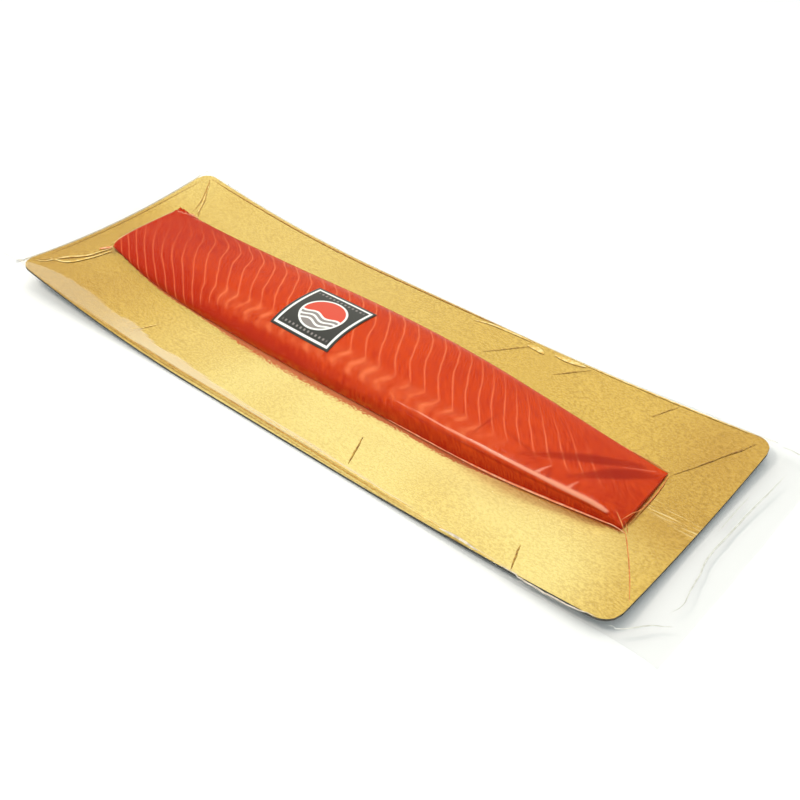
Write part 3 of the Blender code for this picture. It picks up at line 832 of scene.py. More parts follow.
film = {
    "clearance": 0.00016,           # film to fish
    "boardClearance": 0.00012,
    "foot": 0.0014,                 # it bridges the foot of the fillet, this high and this wide
    "cutFoot": 0.0022,              # and this wide beyond the two cuts
    "bridgeBend": (0.0007, 0.0002),                 # how far out and how high the bridges' middles lie
    "cutBend": (0.00045, 0.0006, 0.35),             # off a cut they start here, bend out so far, and so high
    "rimClearance": 0.0006,
    "rimSlope": 0.0016,
    "seamGap": 0.0003,              # between the two films, round the board
    "nearStandOff": 0.0011,         # how far it stands off the board along the near long edge
    "edgeGold": 0.0033,             # and how wide a strip it clings to again there
    "flangeWave": 0.0007,
    "flangeRidge": (0.0006, 0.0011),                # height and half width of the fold along the right flange
    "ripple": (0.00005, 0.012),     # height and size of its unevenness on the board
    "lowerLift": 0.0001,            # the lower film's level
    "rows": 222,                    # over the fish
    "endRows": (7, 22, 17),         # down a cut, on to the board's end, and along a flange
    "marginSteps": 32,              # beside the fish
    "lowerCells": (149, 51),
}
seamLevel = bag["thickness"] + film["seamGap"]
# where the film lets go of the board along the near long edge
standOffLine = smoothThrough((
    (-0.1995, -0.0690), (-0.1917, -0.0648), (-0.1806, -0.0608), (-0.1625, -0.0582), (-0.1440, -0.0586),
    (-0.1250, -0.0597), (-0.1155, -0.0580), (-0.1046, -0.0598), (-0.0925, -0.0622), (-0.0730, -0.0618),
    (-0.0400, -0.0640), (0.0500, -0.0660), (0.1000, -0.0682), (0.1350, -0.0702), (0.2000, -0.0722)))
# the film's rim: half the pack's width here
nearRim = smoothThrough(((-0.224, 0.0715), (-0.205, 0.0727), (-0.180, 0.0729), (0.080, 0.0731),
                         (0.130, 0.0748), (0.200, 0.0760)))
farRim = smoothThrough(((-0.224, 0.0715), (-0.205, 0.0733), (-0.180, 0.0737), (0.100, 0.0738),
                        (0.200, 0.0760)))
# x of the fold along the right flange, at y
flangeFold = smoothThrough(((-0.075, 0.2185), (-0.0417, 0.2164), (-0.0324, 0.2134), (-0.0140, 0.2111),
                            (0.0136, 0.2120), (0.0405, 0.2127), (0.0586, 0.2137), (0.075, 0.2120)))


def rimY(x, sign):
    return nearRim(x) if sign < 0 else farRim(x)


def standOff(x, y):
    # 0 where the film touches the board, 1 in the middle of the loose strip
    line = standOffLine(x)
    edge = -board["width"] / 2 - 0.002
    share = np.clip((line - y) / (line - edge), 0, 1)
    return np.sin(math.pi * share ** 0.75)


def flangeWave(x, y):
    # the loose flanges ripple a little, and the right one has a fold along it
    flange = np.clip((np.abs(x) - board["length"] / 2 - 0.002) / 0.012, 0, 1)
    wave = film["flangeWave"] * (1 + softNoise(x * 0.4, y, 0.030, 7)) * flange * np.where(x < 0, 0.3, 1)
    height, halfWidth = film["flangeRidge"]
    return wave + height * np.exp(-((x - flangeFold(y)) / halfWidth) ** 2)


def filmLevel(x, y):
    # the film's height where there is no fish under it
    onBoard = ((np.abs(x) < board["length"] / 2 + 2 * film["rimClearance"])
               & (np.abs(y) < board["width"] / 2 + 2 * film["rimClearance"]))
    level = np.where(onBoard, boardTop + film["boardClearance"], seamLevel)
    lift = film["nearStandOff"] * standOff(x, y) * onBoard
    height, size = film["ripple"]
    ripple = height * softNoise(x, y, size, 3) * onBoard
    return bow(x, y) + level + lift + np.maximum(ripple, -0.00006) + flangeWave(x, y)


def marginColumns(x, footY):
    # y of the film's columns from its rim to where it lands beside the fish
    sign = math.copysign(1, footY)
    outer = sign * rimY(x, sign)
    rim = sign * (board["width"] / 2 + 0.0003)
    middle = blendValues(rim, outer, 0.55)
    edge = np.linspace(outer, middle, 3)[:-1]
    step = np.linspace(middle, rim, 3)[:-1]
    flat = blendValues(rim, footY + sign * film["foot"], np.linspace(0, 1, film["marginSteps"]) ** 1.3)
    return np.concatenate([edge, step, flat])


def bend(start, middle, end, t):
    # a quadratic curve
    return (1 - t) ** 2 * start + 2 * t * (1 - t) * middle + t ** 2 * end


def filmSection(share, steps=66, bridge=5):
    # the film over one section of the fish, from landing to landing, as (across, height, y shift)
    across, height, girth, first, last = sectionLine(share, film["foot"])
    girths = np.linspace(first, last, steps)
    over = np.interp(girths, girth, across)
    high = np.interp(girths, girth, height)
    width = shape["farEdge"](0.0) - shape["nearEdge"](0.0)
    run = np.gradient(over) * width
    rise = np.gradient(high)
    slant = np.hypot(run, rise)
    shift = -film["clearance"] * rise / slant
    high = high + film["clearance"] * run / slant
    t = np.linspace(0, 1, bridge + 2)[1:-1]
    out, up = film["bridgeBend"]
    nearBridge = bend(-film["foot"], -out, over[0] * width + shift[0], t)
    farBridge = bend((over[-1] - 1) * width + shift[-1], out, film["foot"], t)
    across = np.concatenate([np.zeros(bridge), over, np.ones(bridge)])
    high = np.concatenate([bend(0, up, high[0], t), high, bend(high[-1], up, 0, t)])
    shift = np.concatenate([nearBridge, shift, farBridge])
    return across, high, shift


def filmRow(share):
    # x, y and height of one row of the film across the fish
    across, high, shift = filmSection(share)
    nearX, nearY = filletPlan(share, 0.0)
    farX, farY = filletPlan(share, 1.0)
    nearYs = marginColumns(nearX, nearY)
    farYs = marginColumns(farX, farY)[::-1]
    x, y = filletPlan(share, across)
    xs = np.concatenate([np.full(len(nearYs), nearX), x, np.full(len(farYs), farX)])
    ys = np.concatenate([nearYs, y + shift, farYs])
    heights = np.concatenate([np.zeros(len(nearYs)), high, np.zeros(len(farYs))])
    return xs, ys, heights


def endRows(end, direction):
    # the film's rows from one cut of the fish out to the pack's end
    xs, ys, heights = filmRow(end)
    nearY = filletPlan(end, 0.0)[1]
    farY = filletPlan(end, 1.0)[1]
    off, out, lower = film["cutBend"]
    down, onBoard, along = film["endRows"]
    start = xs + direction * off
    landing = xs + direction * film["cutFoot"]
    bridge = [(bend(start, start + direction * out, landing, t), bend(heights, heights * lower, 0, t))
              for t in np.linspace(0, 1, down)]
    rim = board["length"] / 2 + film["rimClearance"]
    sealed = rim + film["rimSlope"]
    flange = np.linspace(sealed, bag["length"] / 2, along)
    beyond = np.concatenate([np.linspace(rim, sealed, 3)[1:], flange[1:]])
    flat = [blendValues(landing, direction * rim, t) for t in np.linspace(0, 1, onBoard)[1:]]
    flat += [np.full(len(xs), direction * x) for x in beyond]
    rows = []
    for x, height in bridge + [(x, np.zeros(len(xs))) for x in flat]:
        nearYs = marginColumns(x[0], nearY)
        farYs = marginColumns(x[-1], farY)[::-1]
        rows.append((x, np.concatenate([nearYs, ys[len(nearYs):-len(farYs)], farYs]), height))
    return rows


def filmRows():
    over = [filmRow(share) for share in np.linspace(0, 1, film["rows"])[1:-1]]
    return endRows(0.0, -1)[::-1] + over + endRows(1.0, 1)


def makeFilmMaterial():
    # Clear polyamide vacuum film, about 0.1 mm: it is seen by its gloss, and where it stands off what is
    # under it, its reflection there is painted in as a milky colour.
    look = {
        "tint": "#FEFEFE",
        "milk": "#FFF0CC",
        "glareStrength": 0.40,
        "roughness": 0.07,
        "faceOn": 0.005,            # share mirrored by each face, seen straight on
        "grazing": 0.10,            # and seen along it
        "crinkles": 3.846,          # mm, size of the shallow unevenness
        "relief": 0.0003,           # metres
    }
    material, tree = newMaterial("clearVacuumFilm")
    place = addNode(tree, "ShaderNodeTexCoord").outputs["Object"]
    paintedFilmGlare = addNode(tree, "ShaderNodeAttribute", attribute_name="paintedFilmGlare").outputs["Fac"]
    crinkle = addNode(tree, "ShaderNodeTexNoise", {
        "Vector": place, "Scale": 1000 / look["crinkles"], "Detail": 2.0})
    bump = addNode(tree, "ShaderNodeBump", {"Height": crinkle, "Strength": 0.10, "Distance": look["relief"]})
    clear = addNode(tree, "ShaderNodeBsdfTransparent", {"Color": hexColor(look["tint"])})
    # the milky colour in which the film's reflection is painted
    dull = addNode(tree, "ShaderNodeBsdfDiffuse", {"Color": hexColor(look["milk"])})
    milky = addNode(tree, "ShaderNodeMath", {0: paintedFilmGlare, 1: look["glareStrength"]}, operation="MULTIPLY")
    body = addNode(tree, "ShaderNodeMixShader", {0: milky, 1: clear, 2: dull})
    gloss = addNode(tree, "ShaderNodeBsdfGlossy", {
        "Color": (1, 1, 1, 1), "Roughness": look["roughness"], "Normal": bump})
    slant = addNode(tree, "ShaderNodeLayerWeight", {"Blend": 0.5, "Normal": bump})
    steep = addNode(tree, "ShaderNodeMath", {0: slant.outputs["Facing"], 1: 5.0}, operation="POWER")
    mirror = addNode(tree, "ShaderNodeMapRange", {
        "Value": steep, "To Min": look["faceOn"], "To Max": look["grazing"]})
    surface = addNode(tree, "ShaderNodeMixShader", {0: mirror, 1: body, 2: gloss})
    addNode(tree, "ShaderNodeOutputMaterial", {"Surface": surface})
    return material


def filmGlareMask(x, y):
    # where the film's reflection is painted milky: in the loose strip along the near edge, at the far edge
    # and down the left one
    halfLength = board["length"] / 2
    halfWidth = board["width"] / 2
    onBoard = (np.abs(x) < halfLength) & (np.abs(y) < halfWidth)
    clinging = film["edgeGold"] * smoothStep(-0.200, -0.050, x) * smoothStep(0.150, 0.090, x)
    nearStrip = (blendValues(0.38, 0.95, smoothStep(-0.140, -0.080, x))
                 * smoothStep(0.0, 0.0007, standOffLine(x) - y)
                 * smoothStep(-0.0003, 0.0004, y + halfWidth - clinging))
    farStrip = 0.36 * smoothStep(halfWidth - 0.0012, halfWidth - 0.0002, y)
    leftStrip = (0.75 * smoothStep(-halfLength + 0.0006, -halfLength - 0.0002, x)
                 * smoothStep(-halfLength - 0.0026, -halfLength - 0.0014, x)
                 * smoothStep(halfWidth - 0.004, halfWidth - 0.006, np.abs(y)))
    return (nearStrip + farStrip) * onBoard + leftStrip


def makeUpperFilm(material):
    x, y, height = (np.array(values) for values in zip(*filmRows()))
    z = filmLevel(x, y) + height + np.where(height > 0.001, scrapRelief(x, y), 0)
    z = np.where(height > 0.0001, z + (fillet["base"] - boardTop - film["boardClearance"]), z)
    points = np.stack([x, y, z], axis=-1).reshape(-1, 3)
    piece = newPiece("upperFilm", points, gridFaces(*x.shape), [material], {"paintedFilmGlare": filmGlareMask(x, y)})
    thicken(piece)
    keepAs(piece, "clear_film", "film_top")
    print("upper film:", len(piece.data.polygons), "faces")
    return piece


def makeLowerFilm(material):
    rows, columns = (cells + 1 for cells in film["lowerCells"])
    xs = np.linspace(-bag["length"] / 2, bag["length"] / 2, rows)
    x, side = np.meshgrid(xs, np.linspace(-1, 1, columns), indexing="ij")
    y = np.where(side < 0, side * rimY(x, -1), side * rimY(x, 1))
    points = np.stack([x, y, bow(x, y) + flangeWave(x, y) + film["lowerLift"]], axis=-1).reshape(-1, 3)
    piece = newPiece("lowerFilm", points, gridFaces(rows, columns), [material], {"paintedFilmGlare": np.zeros(x.size)})
    thicken(piece)
    keepAs(piece, "clear_film", "film_bottom")
    print("lower film:", len(piece.data.polygons), "faces")


def thicken(piece):
    # gives a film its thickness, outwards
    solidify = piece.modifiers.new("thickness", "SOLIDIFY")
    solidify.thickness = bag["thickness"]
    solidify.offset = 1
    bpy.context.view_layer.update()
    evaluated = piece.evaluated_get(bpy.context.evaluated_depsgraph_get())
    mesh = bpy.data.meshes.new_from_object(evaluated)
    piece.modifiers.remove(solidify)
    piece.data = mesh


def alongFoot(places):
    # points just beside the fish's near foot, at places along it, in mm
    return [(x, shape["nearEdge"](x * millimetre) / millimetre - 0.6) for x in places]


creaseSpacing = 0.0006              # metres from one of a rib's sections to the next
# Creases in the film, as thin ribs on it. Each line is a row of points (x, y) in mm and its half width in mm.
# Flatness is a rib's height as a share of its width, and wander is how far it strays, in metres.
creases = {
    "paleCreases": {                # pleats and patches of foil, painted pale as highlights
        "material": "paintedPleatHighlight", "colors": ("#E9BE5E", "#FCE298"), "roughness": 0.50,
        "flatness": 0.04, "wander": 0.0002, "seed": 2,
        "lines": (
            (((-196.6, -62.6), (-192.9, -59.2), (-189.3, -46.9), (-184.0, -38.3), (-181.9, -29.2),
              (-180.4, -20.9)), 0.65),
            (((-193.9, -55.2), (-185.2, -50.0), (-181.5, -40.2), (-179.4, -31.1), (-178.3, -23.3)), 0.9),
            (((-172.4, 38.0), (-177.4, 46.2), (-182.8, 54.4), (-190.2, 65.2)), 0.50),
            (((-104.1, -49.1), (-107.5, -57.0), (-110.5, -64.0)), 0.30),
            (((61.0, 66.4), (66.0, 67.0), (72.0, 65.4)), 1.8),
            (((77.0, 68.3), (85.0, 68.4), (95.5, 69.6)), 1.6),
            (((24.0, 66.5), (34.0, 69.4), (48.0, 70.3), (61.5, 70.2)), 0.8),
            (((88.0, 70.9), (140.0, 71.0), (190.0, 71.0)), 0.5),
            (((-39.0, -66.6), (20.0, -67.8), (95.0, -69.6), (128.0, -70.6)), 0.30),
        ),
    },
    "amberCreases": {               # pleats and edges, painted amber as their shade
        "material": "paintedPleatShade", "colors": ("#B88036", "#D2A450"), "roughness": 0.30,
        "flatness": 0.25, "wander": 0.0010, "seed": 4,
        "lines": (
            (((-196.2, -61.4), (-188.5, -47.5), (-183.0, -37.2), (-177.0, -23.2)), 0.35),
            (((-169.7, 35.9), (-174.5, 42.5), (-179.0, 50.2), (-186.2, 59.1), (-191.8, 66.5)), 0.28),
            (((-176.6, 38.4), (-180.0, 47.4), (-186.0, 57.5), (-192.8, 67.5)), 0.24),
            (((-197.5, -55.0), (-197.8, 0.0), (-197.2, 40.0), (-195.6, 66.0)), 0.22),
            (((-192.0, 68.6), (-150.0, 69.4), (-90.0, 69.8), (-20.0, 70.4), (40.0, 71.1),
              (63.0, 70.9)), 0.5),
            (((-150.0, -69.8), (-91.4, -69.6), (-49.5, -69.2), (0.0, -69.4), (60.0, -70.2),
              (120.0, -70.9)), 0.30),
        ),
    },
    "brineCreases": {               # thin lines and specks of brine, drawn in and dried
        "material": "driedBrine", "colors": ("#C0963E", "#906228"), "roughness": 0.35,
        "flatness": 0.25, "wander": 0.0010, "seed": 5,
        "lines": (
            (((171.4, 22.8), (179.3, 38.2), (185.2, 50.6), (189.3, 58.6), (193.0, 66.0)), 0.26),
            (((43.8, -45.7), (51.4, -64.6)), 0.42),
            (((144.8, -56.1), (150.5, -70.6)), 0.42),
            (((44.8, 45.4), (64.8, 69.2)), 0.24),
            (((85.3, 52.9), (99.3, 69.2)), 0.24),
            (((143.0, 54.9), (150.7, 70.4)), 0.20),
            (((187.0, 53.4), (190.6, 60.4)), 0.45),
            (((156.0, 44.2), (156.9, 44.6)), 0.32),
            (((-87.9, -49.9), (-87.1, -49.5)), 0.30),
            (((-155.0, -67.6), (-154.0, -67.3)), 0.42),
        ),
    },
    "cornerCreases": {              # pleats off the fish's right end, painted orange with the fish's reflected light
        "material": "paintedOrangeReflection", "colors": ("#D2703A", "#F09A54"), "roughness": 0.30,
        "flatness": 0.30, "wander": 0.0004, "seed": 7,
        "lines": (
            (((167.5, -16.8), (172.4, -19.6), (176.0, -21.4)), 0.26),
            (((172.6, -17.6), (175.2, -18.6), (176.4, -20.6)), 0.20),
            (((176.0, -21.4), (185.5, -34.1)), 0.16),
            (((171.5, -19.5), (173.6, -5.0), (173.2, 10.0), (171.6, 23.6)), 0.30),
            (((171.2, 25.0), (160.0, 26.4), (140.0, 28.3)), 0.25),
            (((175.5, -20.6), (181.4, -28.5), (191.4, -43.3), (198.6, -55.5)), 0.22),
        ),
    },
    "rimCreases": {                 # where the rim curls over the near edge
        "material": "curledFilmRim", "colors": ("#C9BBA8", "#E8DCCB"), "roughness": 0.45,
        "flatness": 0.30, "wander": 0.0004, "seed": 9,
        "lines": (
            (((112.0, -71.2), (118.0, -70.8), (125.0, -70.8), (134.0, -71.6)), 0.70),
            (((146.0, -72.4), (160.0, -72.6), (174.0, -72.7), (186.0, -72.4), (193.0, -71.2)), 0.45),
        ),
    },
    "flangeCreases": {              # soft folds in the loose flanges, painted grey as their shade
        "material": "paintedFlangeFoldShade", "colors": ("#CBC9BF", "#E6E5DE"), "roughness": 0.30,
        "flatness": 0.10, "wander": 0.0008, "seed": 12,
        "lines": (
            (((212.6, 55.6), (211.7, 42.9), (210.6, 27.9), (210.2, 15.8), (210.0, 1.7), (210.0, -11.4),
              (212.0, -21.0), (213.6, -32.4), (215.3, -41.2), (213.3, -48.1)), 0.42),
            (((206.0, 34.1), (205.6, 19.9), (205.6, 6.1)), 0.22),
            (((199.4, -72.4), (205.0, -67.5), (210.9, -59.7), (218.0, -53.9)), 0.35),
            (((203.0, 72.0), (209.0, 72.5), (216.0, 71.0)), 0.40),
            (((-222.0, -69.5), (-209.5, -70.2), (-202.0, -69.5)), 0.20),
        ),
    },
    "footCreases": {                # along the foot of the fish and at its left corners, painted as the highlight of the film bridging there
        "material": "paintedFootHighlight", "colors": ("#FB9462", "#FFBE92"), "roughness": 0.35,
        "flatness": 0.50, "wander": 0.0, "seed": 8,
        "lines": (
            (alongFoot(range(45, 91, 5)), 0.35),
            (alongFoot(range(80, 171, 5)) + [(176.0, -21.3)], 0.60),
            (((-184.6, -27.4), (-182.6, -23.8), (-180.9, -20.7)), 0.90),
            (((-181.0, -19.5), (-180.7, 0.0), (-179.7, 26.0)), 0.28),
            (((-179.4, 32.4), (-176.6, 34.6), (-172.6, 36.6)), 0.60),
            (((-177.0, 33.6), (-173.4, 35.2), (-168.6, 35.8)), 0.40),
        ),
    },
}


def creaseTree():
    # lays thin flat ribs on the film along the drawn lines, with a slight wander
    tree = bpy.data.node_groups.new("filmCreases", "GeometryNodeTree")
    for name, kind in (("Geometry", "Geometry"), ("Surface", "Object"), ("Material", "Material"),
                       ("Spacing", "Float"), ("Wander", "Float"), ("Flatness", "Float"), ("Seed", "Int")):
        tree.interface.new_socket(name, in_out="INPUT", socket_type="NodeSocket" + kind)
    tree.interface.new_socket("Geometry", in_out="OUTPUT", socket_type="NodeSocketGeometry")
    given = addNode(tree, "NodeGroupInput").outputs
    curves = addNode(tree, "GeometryNodeMeshToCurve", {"Mesh": given["Geometry"]})
    rounded = addNode(tree, "GeometryNodeCurveSplineType", {"Curve": curves}, spline_type="CATMULL_ROM")
    even = addNode(tree, "GeometryNodeResampleCurve", {
        "Curve": rounded, "Length": given["Spacing"]}, mode="LENGTH")
    place = addNode(tree, "GeometryNodeInputPosition")
    noise = addNode(tree, "ShaderNodeTexNoise", {
        "Vector": place, "W": given["Seed"], "Scale": 260.0,        # bends of about 4 mm
        "Detail": 2.0}, noise_dimensions="4D")
    centred = addNode(tree, "ShaderNodeVectorMath", {
        0: noise.outputs["Color"], 1: (0.5, 0.5, 0.5)}, operation="SUBTRACT")
    drift = addNode(tree, "ShaderNodeVectorMath", {0: centred, "Scale": given["Wander"]}, operation="SCALE")
    wandered = addNode(tree, "GeometryNodeSetPosition", {"Geometry": even, "Offset": drift})
    target = addNode(tree, "GeometryNodeObjectInfo", {"Object": given["Surface"]}, transform_space="ORIGINAL")
    axes = addNode(tree, "ShaderNodeSeparateXYZ", {0: place})
    above = addNode(tree, "ShaderNodeCombineXYZ", {0: axes.outputs[0], 1: axes.outputs[1], 2: 0.1})
    hit = addNode(tree, "GeometryNodeRaycast", {
        "Target Geometry": target.outputs["Geometry"], "Source Position": above, "Ray Direction": (0, 0, -1),
        "Ray Length": 1.0})
    laid = addNode(tree, "GeometryNodeSetPosition", {
        "Geometry": wandered, "Position": hit.outputs["Hit Position"]})
    upright = addNode(tree, "GeometryNodeSetCurveNormal", {"Curve": laid}, mode="Z_UP")
    width = addNode(tree, "GeometryNodeInputNamedAttribute", {"Name": "halfWidth"}, data_type="FLOAT")
    turn = addNode(tree, "ShaderNodeMath", {
        0: addNode(tree, "GeometryNodeSplineParameter").outputs["Factor"], 1: math.pi}, operation="MULTIPLY")
    bulge = addNode(tree, "ShaderNodeMath", {0: turn}, operation="SINE")
    clipped = addNode(tree, "ShaderNodeMath", {0: bulge, 1: 0.02}, operation="MAXIMUM")
    taper = addNode(tree, "ShaderNodeMath", {0: clipped, 1: 0.5}, operation="POWER")
    radius = addNode(tree, "ShaderNodeMath", {0: width, 1: taper}, operation="MULTIPLY")
    circle = addNode(tree, "GeometryNodeCurvePrimitiveCircle", {"Resolution": 8, "Radius": 1.0})
    squash = addNode(tree, "ShaderNodeCombineXYZ", {0: 1.0, 1: given["Flatness"], 2: 1.0})
    profile = addNode(tree, "GeometryNodeTransform", {"Geometry": circle, "Scale": squash})
    swept = addNode(tree, "GeometryNodeCurveToMesh", {
        "Curve": upright, "Profile Curve": profile, "Scale": radius, "Fill Caps": True})
    smooth = addNode(tree, "GeometryNodeSetShadeSmooth", {"Geometry": swept})
    real = addNode(tree, "GeometryNodeRealizeInstances", {0: smooth})
    finished = addNode(tree, "GeometryNodeSetMaterial", {"Geometry": real, "Material": given["Material"]})
    addNode(tree, "NodeGroupOutput", {0: finished})
    return tree


def creaseLines(name, lines):
    # the drawn lines as a mesh of edges above the film, which the tree turns into ribs
    points = []
    edges = []
    widths = []
    for line, halfWidth in lines:
        first = len(points)
        points += [(x * millimetre, y * millimetre, 0.03) for x, y in line]
        edges += [(k, k + 1) for k in range(first, len(points) - 1)]
        widths += [halfWidth * millimetre] * len(line)
    mesh = bpy.data.meshes.new(name)
    mesh.from_pydata(points, edges, [])
    mesh.attributes.new("halfWidth", "FLOAT", "POINT").data.foreach_set("value", widths)
    return mesh


def makeCreaseMaterial(name, colors, roughness):
    # A pleat of doubled film. Its colour is painted light and shade, except the brine and the rim, which keep
    # their own. It is opaque, because clear ribs on clear film lie too many faces deep for the renderer.
    material, tree = newMaterial(name)
    place = addNode(tree, "ShaderNodeTexCoord").outputs["Object"]
    blotches = 2.0                  # mm
    patchy = addNode(tree, "ShaderNodeTexNoise", {"Vector": place, "Scale": 1000 / blotches, "Detail": 2.0})
    spread = addNode(tree, "ShaderNodeMapRange", {
        "Value": patchy, "From Min": 0.38, "From Max": 0.62}, interpolation_type="SMOOTHSTEP")
    tone = addNode(tree, "ShaderNodeMix", {
        "Factor": spread, "A": hexColor(colors[0]), "B": hexColor(colors[1])}, data_type="RGBA")
    surface = addNode(tree, "ShaderNodeBsdfPrincipled", {
        "Base Color": tone, "Roughness": roughness, "IOR": 1.40})
    addNode(tree, "ShaderNodeOutputMaterial", {"Surface": surface})
    return material


def makeCreases(upperFilm):
    tree = creaseTree()
    for name, group in creases.items():
        material = makeCreaseMaterial(group["material"], group["colors"], group["roughness"])
        values = {"Surface": upperFilm, "Material": material, "Spacing": creaseSpacing,
                  "Wander": group["wander"], "Flatness": group["flatness"], "Seed": group["seed"]}
        piece = runTree(name, tree, values, creaseLines(name + "Lines", group["lines"]))
        keepAs(piece, "clear_film")
        print(name + ":", len(piece.data.polygons), "faces")


sticker = {
    "length": 0.043,
    "width": 0.0375,
    "centre": (-0.0248, -0.0010),
    "turn": -1.3,                   # degrees
    "thickness": 0.00012,
    "lift": 0.00036,                # over the fish: the film and its clearance
    "cells": 60,
}


def makeStickerPaper():
    # Coated paper, printed by offset: flat satin ink fields with crisp edges.
    look = {"ink": "#2B2B24", "paper": "#F4F4F0", "red": "#DC4526", "grey": "#8F8682", "roughness": 0.36}
    material, tree = newMaterial("printedCoatedPaper")
    uv = addNode(tree, "ShaderNodeUVMap", uv_map="print")
    centred = addNode(tree, "ShaderNodeMapping", {
        "Vector": uv, "Location": (-1, -1, 0), "Scale": (2, 2, 1)})
    radius = addNode(tree, "ShaderNodeVectorMath", {0: centred}, operation="LENGTH").outputs["Value"]
    axes = addNode(tree, "ShaderNodeSeparateXYZ", {0: centred})
    across = addNode(tree, "ShaderNodeMath", {0: axes.outputs["X"]}, operation="ABSOLUTE")
    along = addNode(tree, "ShaderNodeMath", {0: axes.outputs["Y"]}, operation="ABSOLUTE")
    outer = addNode(tree, "ShaderNodeMath", {0: across, 1: along}, operation="MAXIMUM")
    swell = addNode(tree, "ShaderNodeMath", {0: axes.outputs["X"], 1: 9.0}, operation="MULTIPLY")
    crest = addNode(tree, "ShaderNodeMath", {0: swell}, operation="SINE")
    level = addNode(tree, "ShaderNodeMath", {
        0: crest, 1: 0.055, 2: axes.outputs["Y"]}, operation="MULTIPLY_ADD")
    beat = addNode(tree, "ShaderNodeMath", {0: axes.outputs["X"], 1: 0.065}, operation="PINGPONG")
    # each field lies where both its values are within reach of their middles: (value, middle, reach) twice
    everywhere = (outer, 0.0, 2.0)
    color = hexColor(look["ink"])
    for first, second, shade in (
            ((along, 0.745, 0.035), (beat, 0.0, 0.028), "grey"),
            ((across, 0.86, 0.09), (along, 0.745, 0.040), "ink"),
            ((outer, 0.895, 0.035), everywhere, "paper"),
            ((radius, 0.0, 0.60), (level, 0.9, 1.0), "red"),
            ((radius, 0.0, 0.60), (level, -1.08, 1.0), "grey"),
            ((radius, 0.0, 0.62), (level, -0.08, 0.035), "paper"),
            ((radius, 0.0, 0.62), (level, -0.24, 0.035), "paper"),
            ((radius, 0.0, 0.62), (level, -0.40, 0.035), "paper"),
            ((radius, 0.63, 0.03), everywhere, "paper")):
        masks = [addNode(tree, "ShaderNodeMath", dict(enumerate(values)), operation="COMPARE")
                 for values in (first, second)]
        field = addNode(tree, "ShaderNodeMath", {0: masks[0], 1: masks[1]}, operation="MULTIPLY")
        color = addNode(tree, "ShaderNodeMix", {
            "Factor": field, "A": color, "B": hexColor(look[shade])}, data_type="RGBA")
    surface = addNode(tree, "ShaderNodeBsdfPrincipled", {"Base Color": color, "Roughness": look["roughness"]})
    addNode(tree, "ShaderNodeOutputMaterial", {"Surface": surface})
    return material


def makeSticker():
    # a grid laid on the fish, thickened upwards
    cells = sticker["cells"]
    share = np.linspace(0, 1, cells + 1)
    s, t = np.meshgrid(share, share, indexing="ij")
    turn = math.radians(sticker["turn"])
    u = (s - 0.5) * sticker["length"]
    v = (t - 0.5) * sticker["width"]
    x = sticker["centre"][0] + u * math.cos(turn) - v * math.sin(turn)
    y = sticker["centre"][1] + u * math.sin(turn) + v * math.cos(turn)
    top = bow(x, y) + fillet["base"] + filletHeight(*filletShares(x, y)) + sticker["lift"]
    points = np.stack([x, y, top], axis=-1).reshape(-1, 3)
    piece = newPiece("sticker", points, gridFaces(cells + 1, cells + 1), [makeStickerPaper()])
    layer = piece.data.uv_layers.new(name="print")
    corners = np.empty(len(piece.data.loops), np.int32)
    piece.data.loops.foreach_get("vertex_index", corners)
    uv = np.stack([s.ravel()[corners], t.ravel()[corners]], axis=-1)
    layer.data.foreach_set("uv", uv.astype(np.float32).ravel())
    solidify = piece.modifiers.new("thickness", "SOLIDIFY")
    solidify.thickness = sticker["thickness"]
    solidify.offset = 1
    keepAs(piece, "sticker", "label")
    print("sticker:", len(piece.data.polygons), "faces")


def makeStage():
    # a plain pale floor just under the pack
    look = {"floor": "#FFFFFF", "size": 8.0}
    material, tree = newMaterial("paleFloor")
    surface = addNode(tree, "ShaderNodeBsdfPrincipled", {
        "Base Color": hexColor(look["floor"]), "Roughness": 0.9, "Specular IOR Level": 0.1})
    addNode(tree, "ShaderNodeOutputMaterial", {"Surface": surface})
    half = look["size"] / 2
    points = np.array([(-half, -half, 0), (half, -half, 0), (half, half, 0), (-half, half, 0)], float)
    points[:, 2] = cadBox[0].z - 0.0001
    floor = newPiece("floor", points, [(0, 1, 2, 3)], [material], smooth=False)
    print("floor:", look["size"], "m wide")


def makeLight(name, place, aim, size, watts, color):
    lamp = bpy.data.lights.new(name, "AREA")
    lamp.shape = "RECTANGLE"
    lamp.size, lamp.size_y = size
    lamp.energy = watts
    lamp.color = hexColor(color)[:3]
    holder = bpy.data.objects.new(name, lamp)
    holder.location = place
    holder.rotation_euler = (Vector(aim) - Vector(place)).to_track_quat("-Z", "Y").to_euler()
    bpy.context.scene.collection.objects.link(holder)


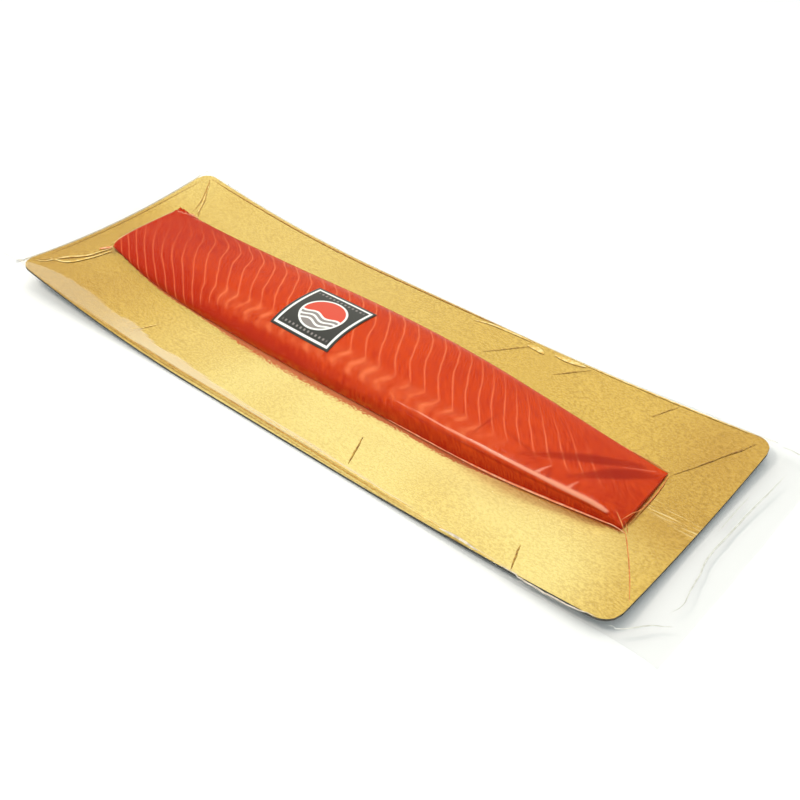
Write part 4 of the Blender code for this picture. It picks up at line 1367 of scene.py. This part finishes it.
def makeLights():
    # an even cool room with one lit wall, and two softboxes
    look = {
        "room": "#E6EFEE",          # a cool room, which tints the soft shadows
        "dim": 0.88,
        "wallColor": "#FFFCF4",     # and its lit back wall, which the gold mirrors
        "bright": 1.16,
        "wall": (135, 45),          # azimuth and elevation of the wall's middle, degrees
        "wallReach": (38, 5),       # degrees from its middle to where it fades out, and to where it is full
        "lamp": "#FFF6EA",
    }
    world = bpy.data.worlds.new("studio")
    world.use_nodes = True
    tree = world.node_tree
    azimuth = math.radians(look["wall"][0])
    elevation = math.radians(look["wall"][1])
    wall = (math.cos(azimuth) * math.cos(elevation), math.sin(azimuth) * math.cos(elevation),
            math.sin(elevation))
    direction = addNode(tree, "ShaderNodeTexCoord").outputs["Generated"]
    towards = addNode(tree, "ShaderNodeVectorMath", {0: direction, 1: wall}, operation="DOT_PRODUCT")
    outside, inside = (math.cos(math.radians(reach)) for reach in look["wallReach"])
    share = addNode(tree, "ShaderNodeMapRange", {
        "Value": towards.outputs["Value"], "From Min": outside, "From Max": inside},
        interpolation_type="SMOOTHSTEP")
    color = addNode(tree, "ShaderNodeMix", {
        "Factor": share, "A": hexColor(look["room"]), "B": hexColor(look["wallColor"])}, data_type="RGBA")
    strength = addNode(tree, "ShaderNodeMapRange", {
        "Value": share, "To Min": look["dim"], "To Max": look["bright"]})
    background = tree.nodes["Background"]
    tree.links.new(color.outputs["Result"], background.inputs["Color"])
    tree.links.new(strength.outputs[0], background.inputs["Strength"])
    bpy.context.scene.world = world
    makeLight("overheadSoftbox", (-0.05, 0.20, 1.6), (0, 0, 0), (0.85, 0.85), 5.2, look["lamp"])
    makeLight("frontSoftbox", (-0.23, -0.44, 0.85), (0.05, 0, 0), (0.26, 0.18), 3.1, look["lamp"])
    print("lights: a room with one lit wall, and two softboxes")


def makeCamera():
    lens = {
        "elevation": 39.019,        # degrees
        "azimuth": 41.331,
        "roll": -0.739,
        "distance": 0.55824,
        "target": (0.03884, -0.01268, 0.0018),
        "focal": 49.885,            # mm
    }
    elevation = math.radians(lens["elevation"])
    azimuth = math.radians(lens["azimuth"])
    roll = math.radians(lens["roll"])
    back = Vector((math.sin(azimuth) * math.cos(elevation), -math.cos(azimuth) * math.cos(elevation),
                   math.sin(elevation)))
    right = Vector((math.cos(azimuth), math.sin(azimuth), 0))
    up = back.cross(right)
    rolledRight = right * math.cos(roll) + up * math.sin(roll)
    rolledUp = up * math.cos(roll) - right * math.sin(roll)
    data = bpy.data.cameras.new("camera")
    data.lens = lens["focal"]
    data.sensor_width = 36
    camera = bpy.data.objects.new("camera", data)
    axes = Matrix((rolledRight, rolledUp, back)).transposed()
    camera.matrix_world = Matrix.Translation(Vector(lens["target"]) + back * lens["distance"]) @ axes.to_4x4()
    bpy.context.scene.collection.objects.link(camera)
    bpy.context.scene.camera = camera
    print("camera:", lens["focal"], "mm")


bpy.context.scene.view_settings.view_transform = "Standard"
makeCamera()
makeStage()
makeLights()
makeBoard()
makeFillet()
filmMaterial = makeFilmMaterial()
upperFilm = makeUpperFilm(filmMaterial)
makeLowerFilm(filmMaterial)
makeCreases(upperFilm)
makeSticker()
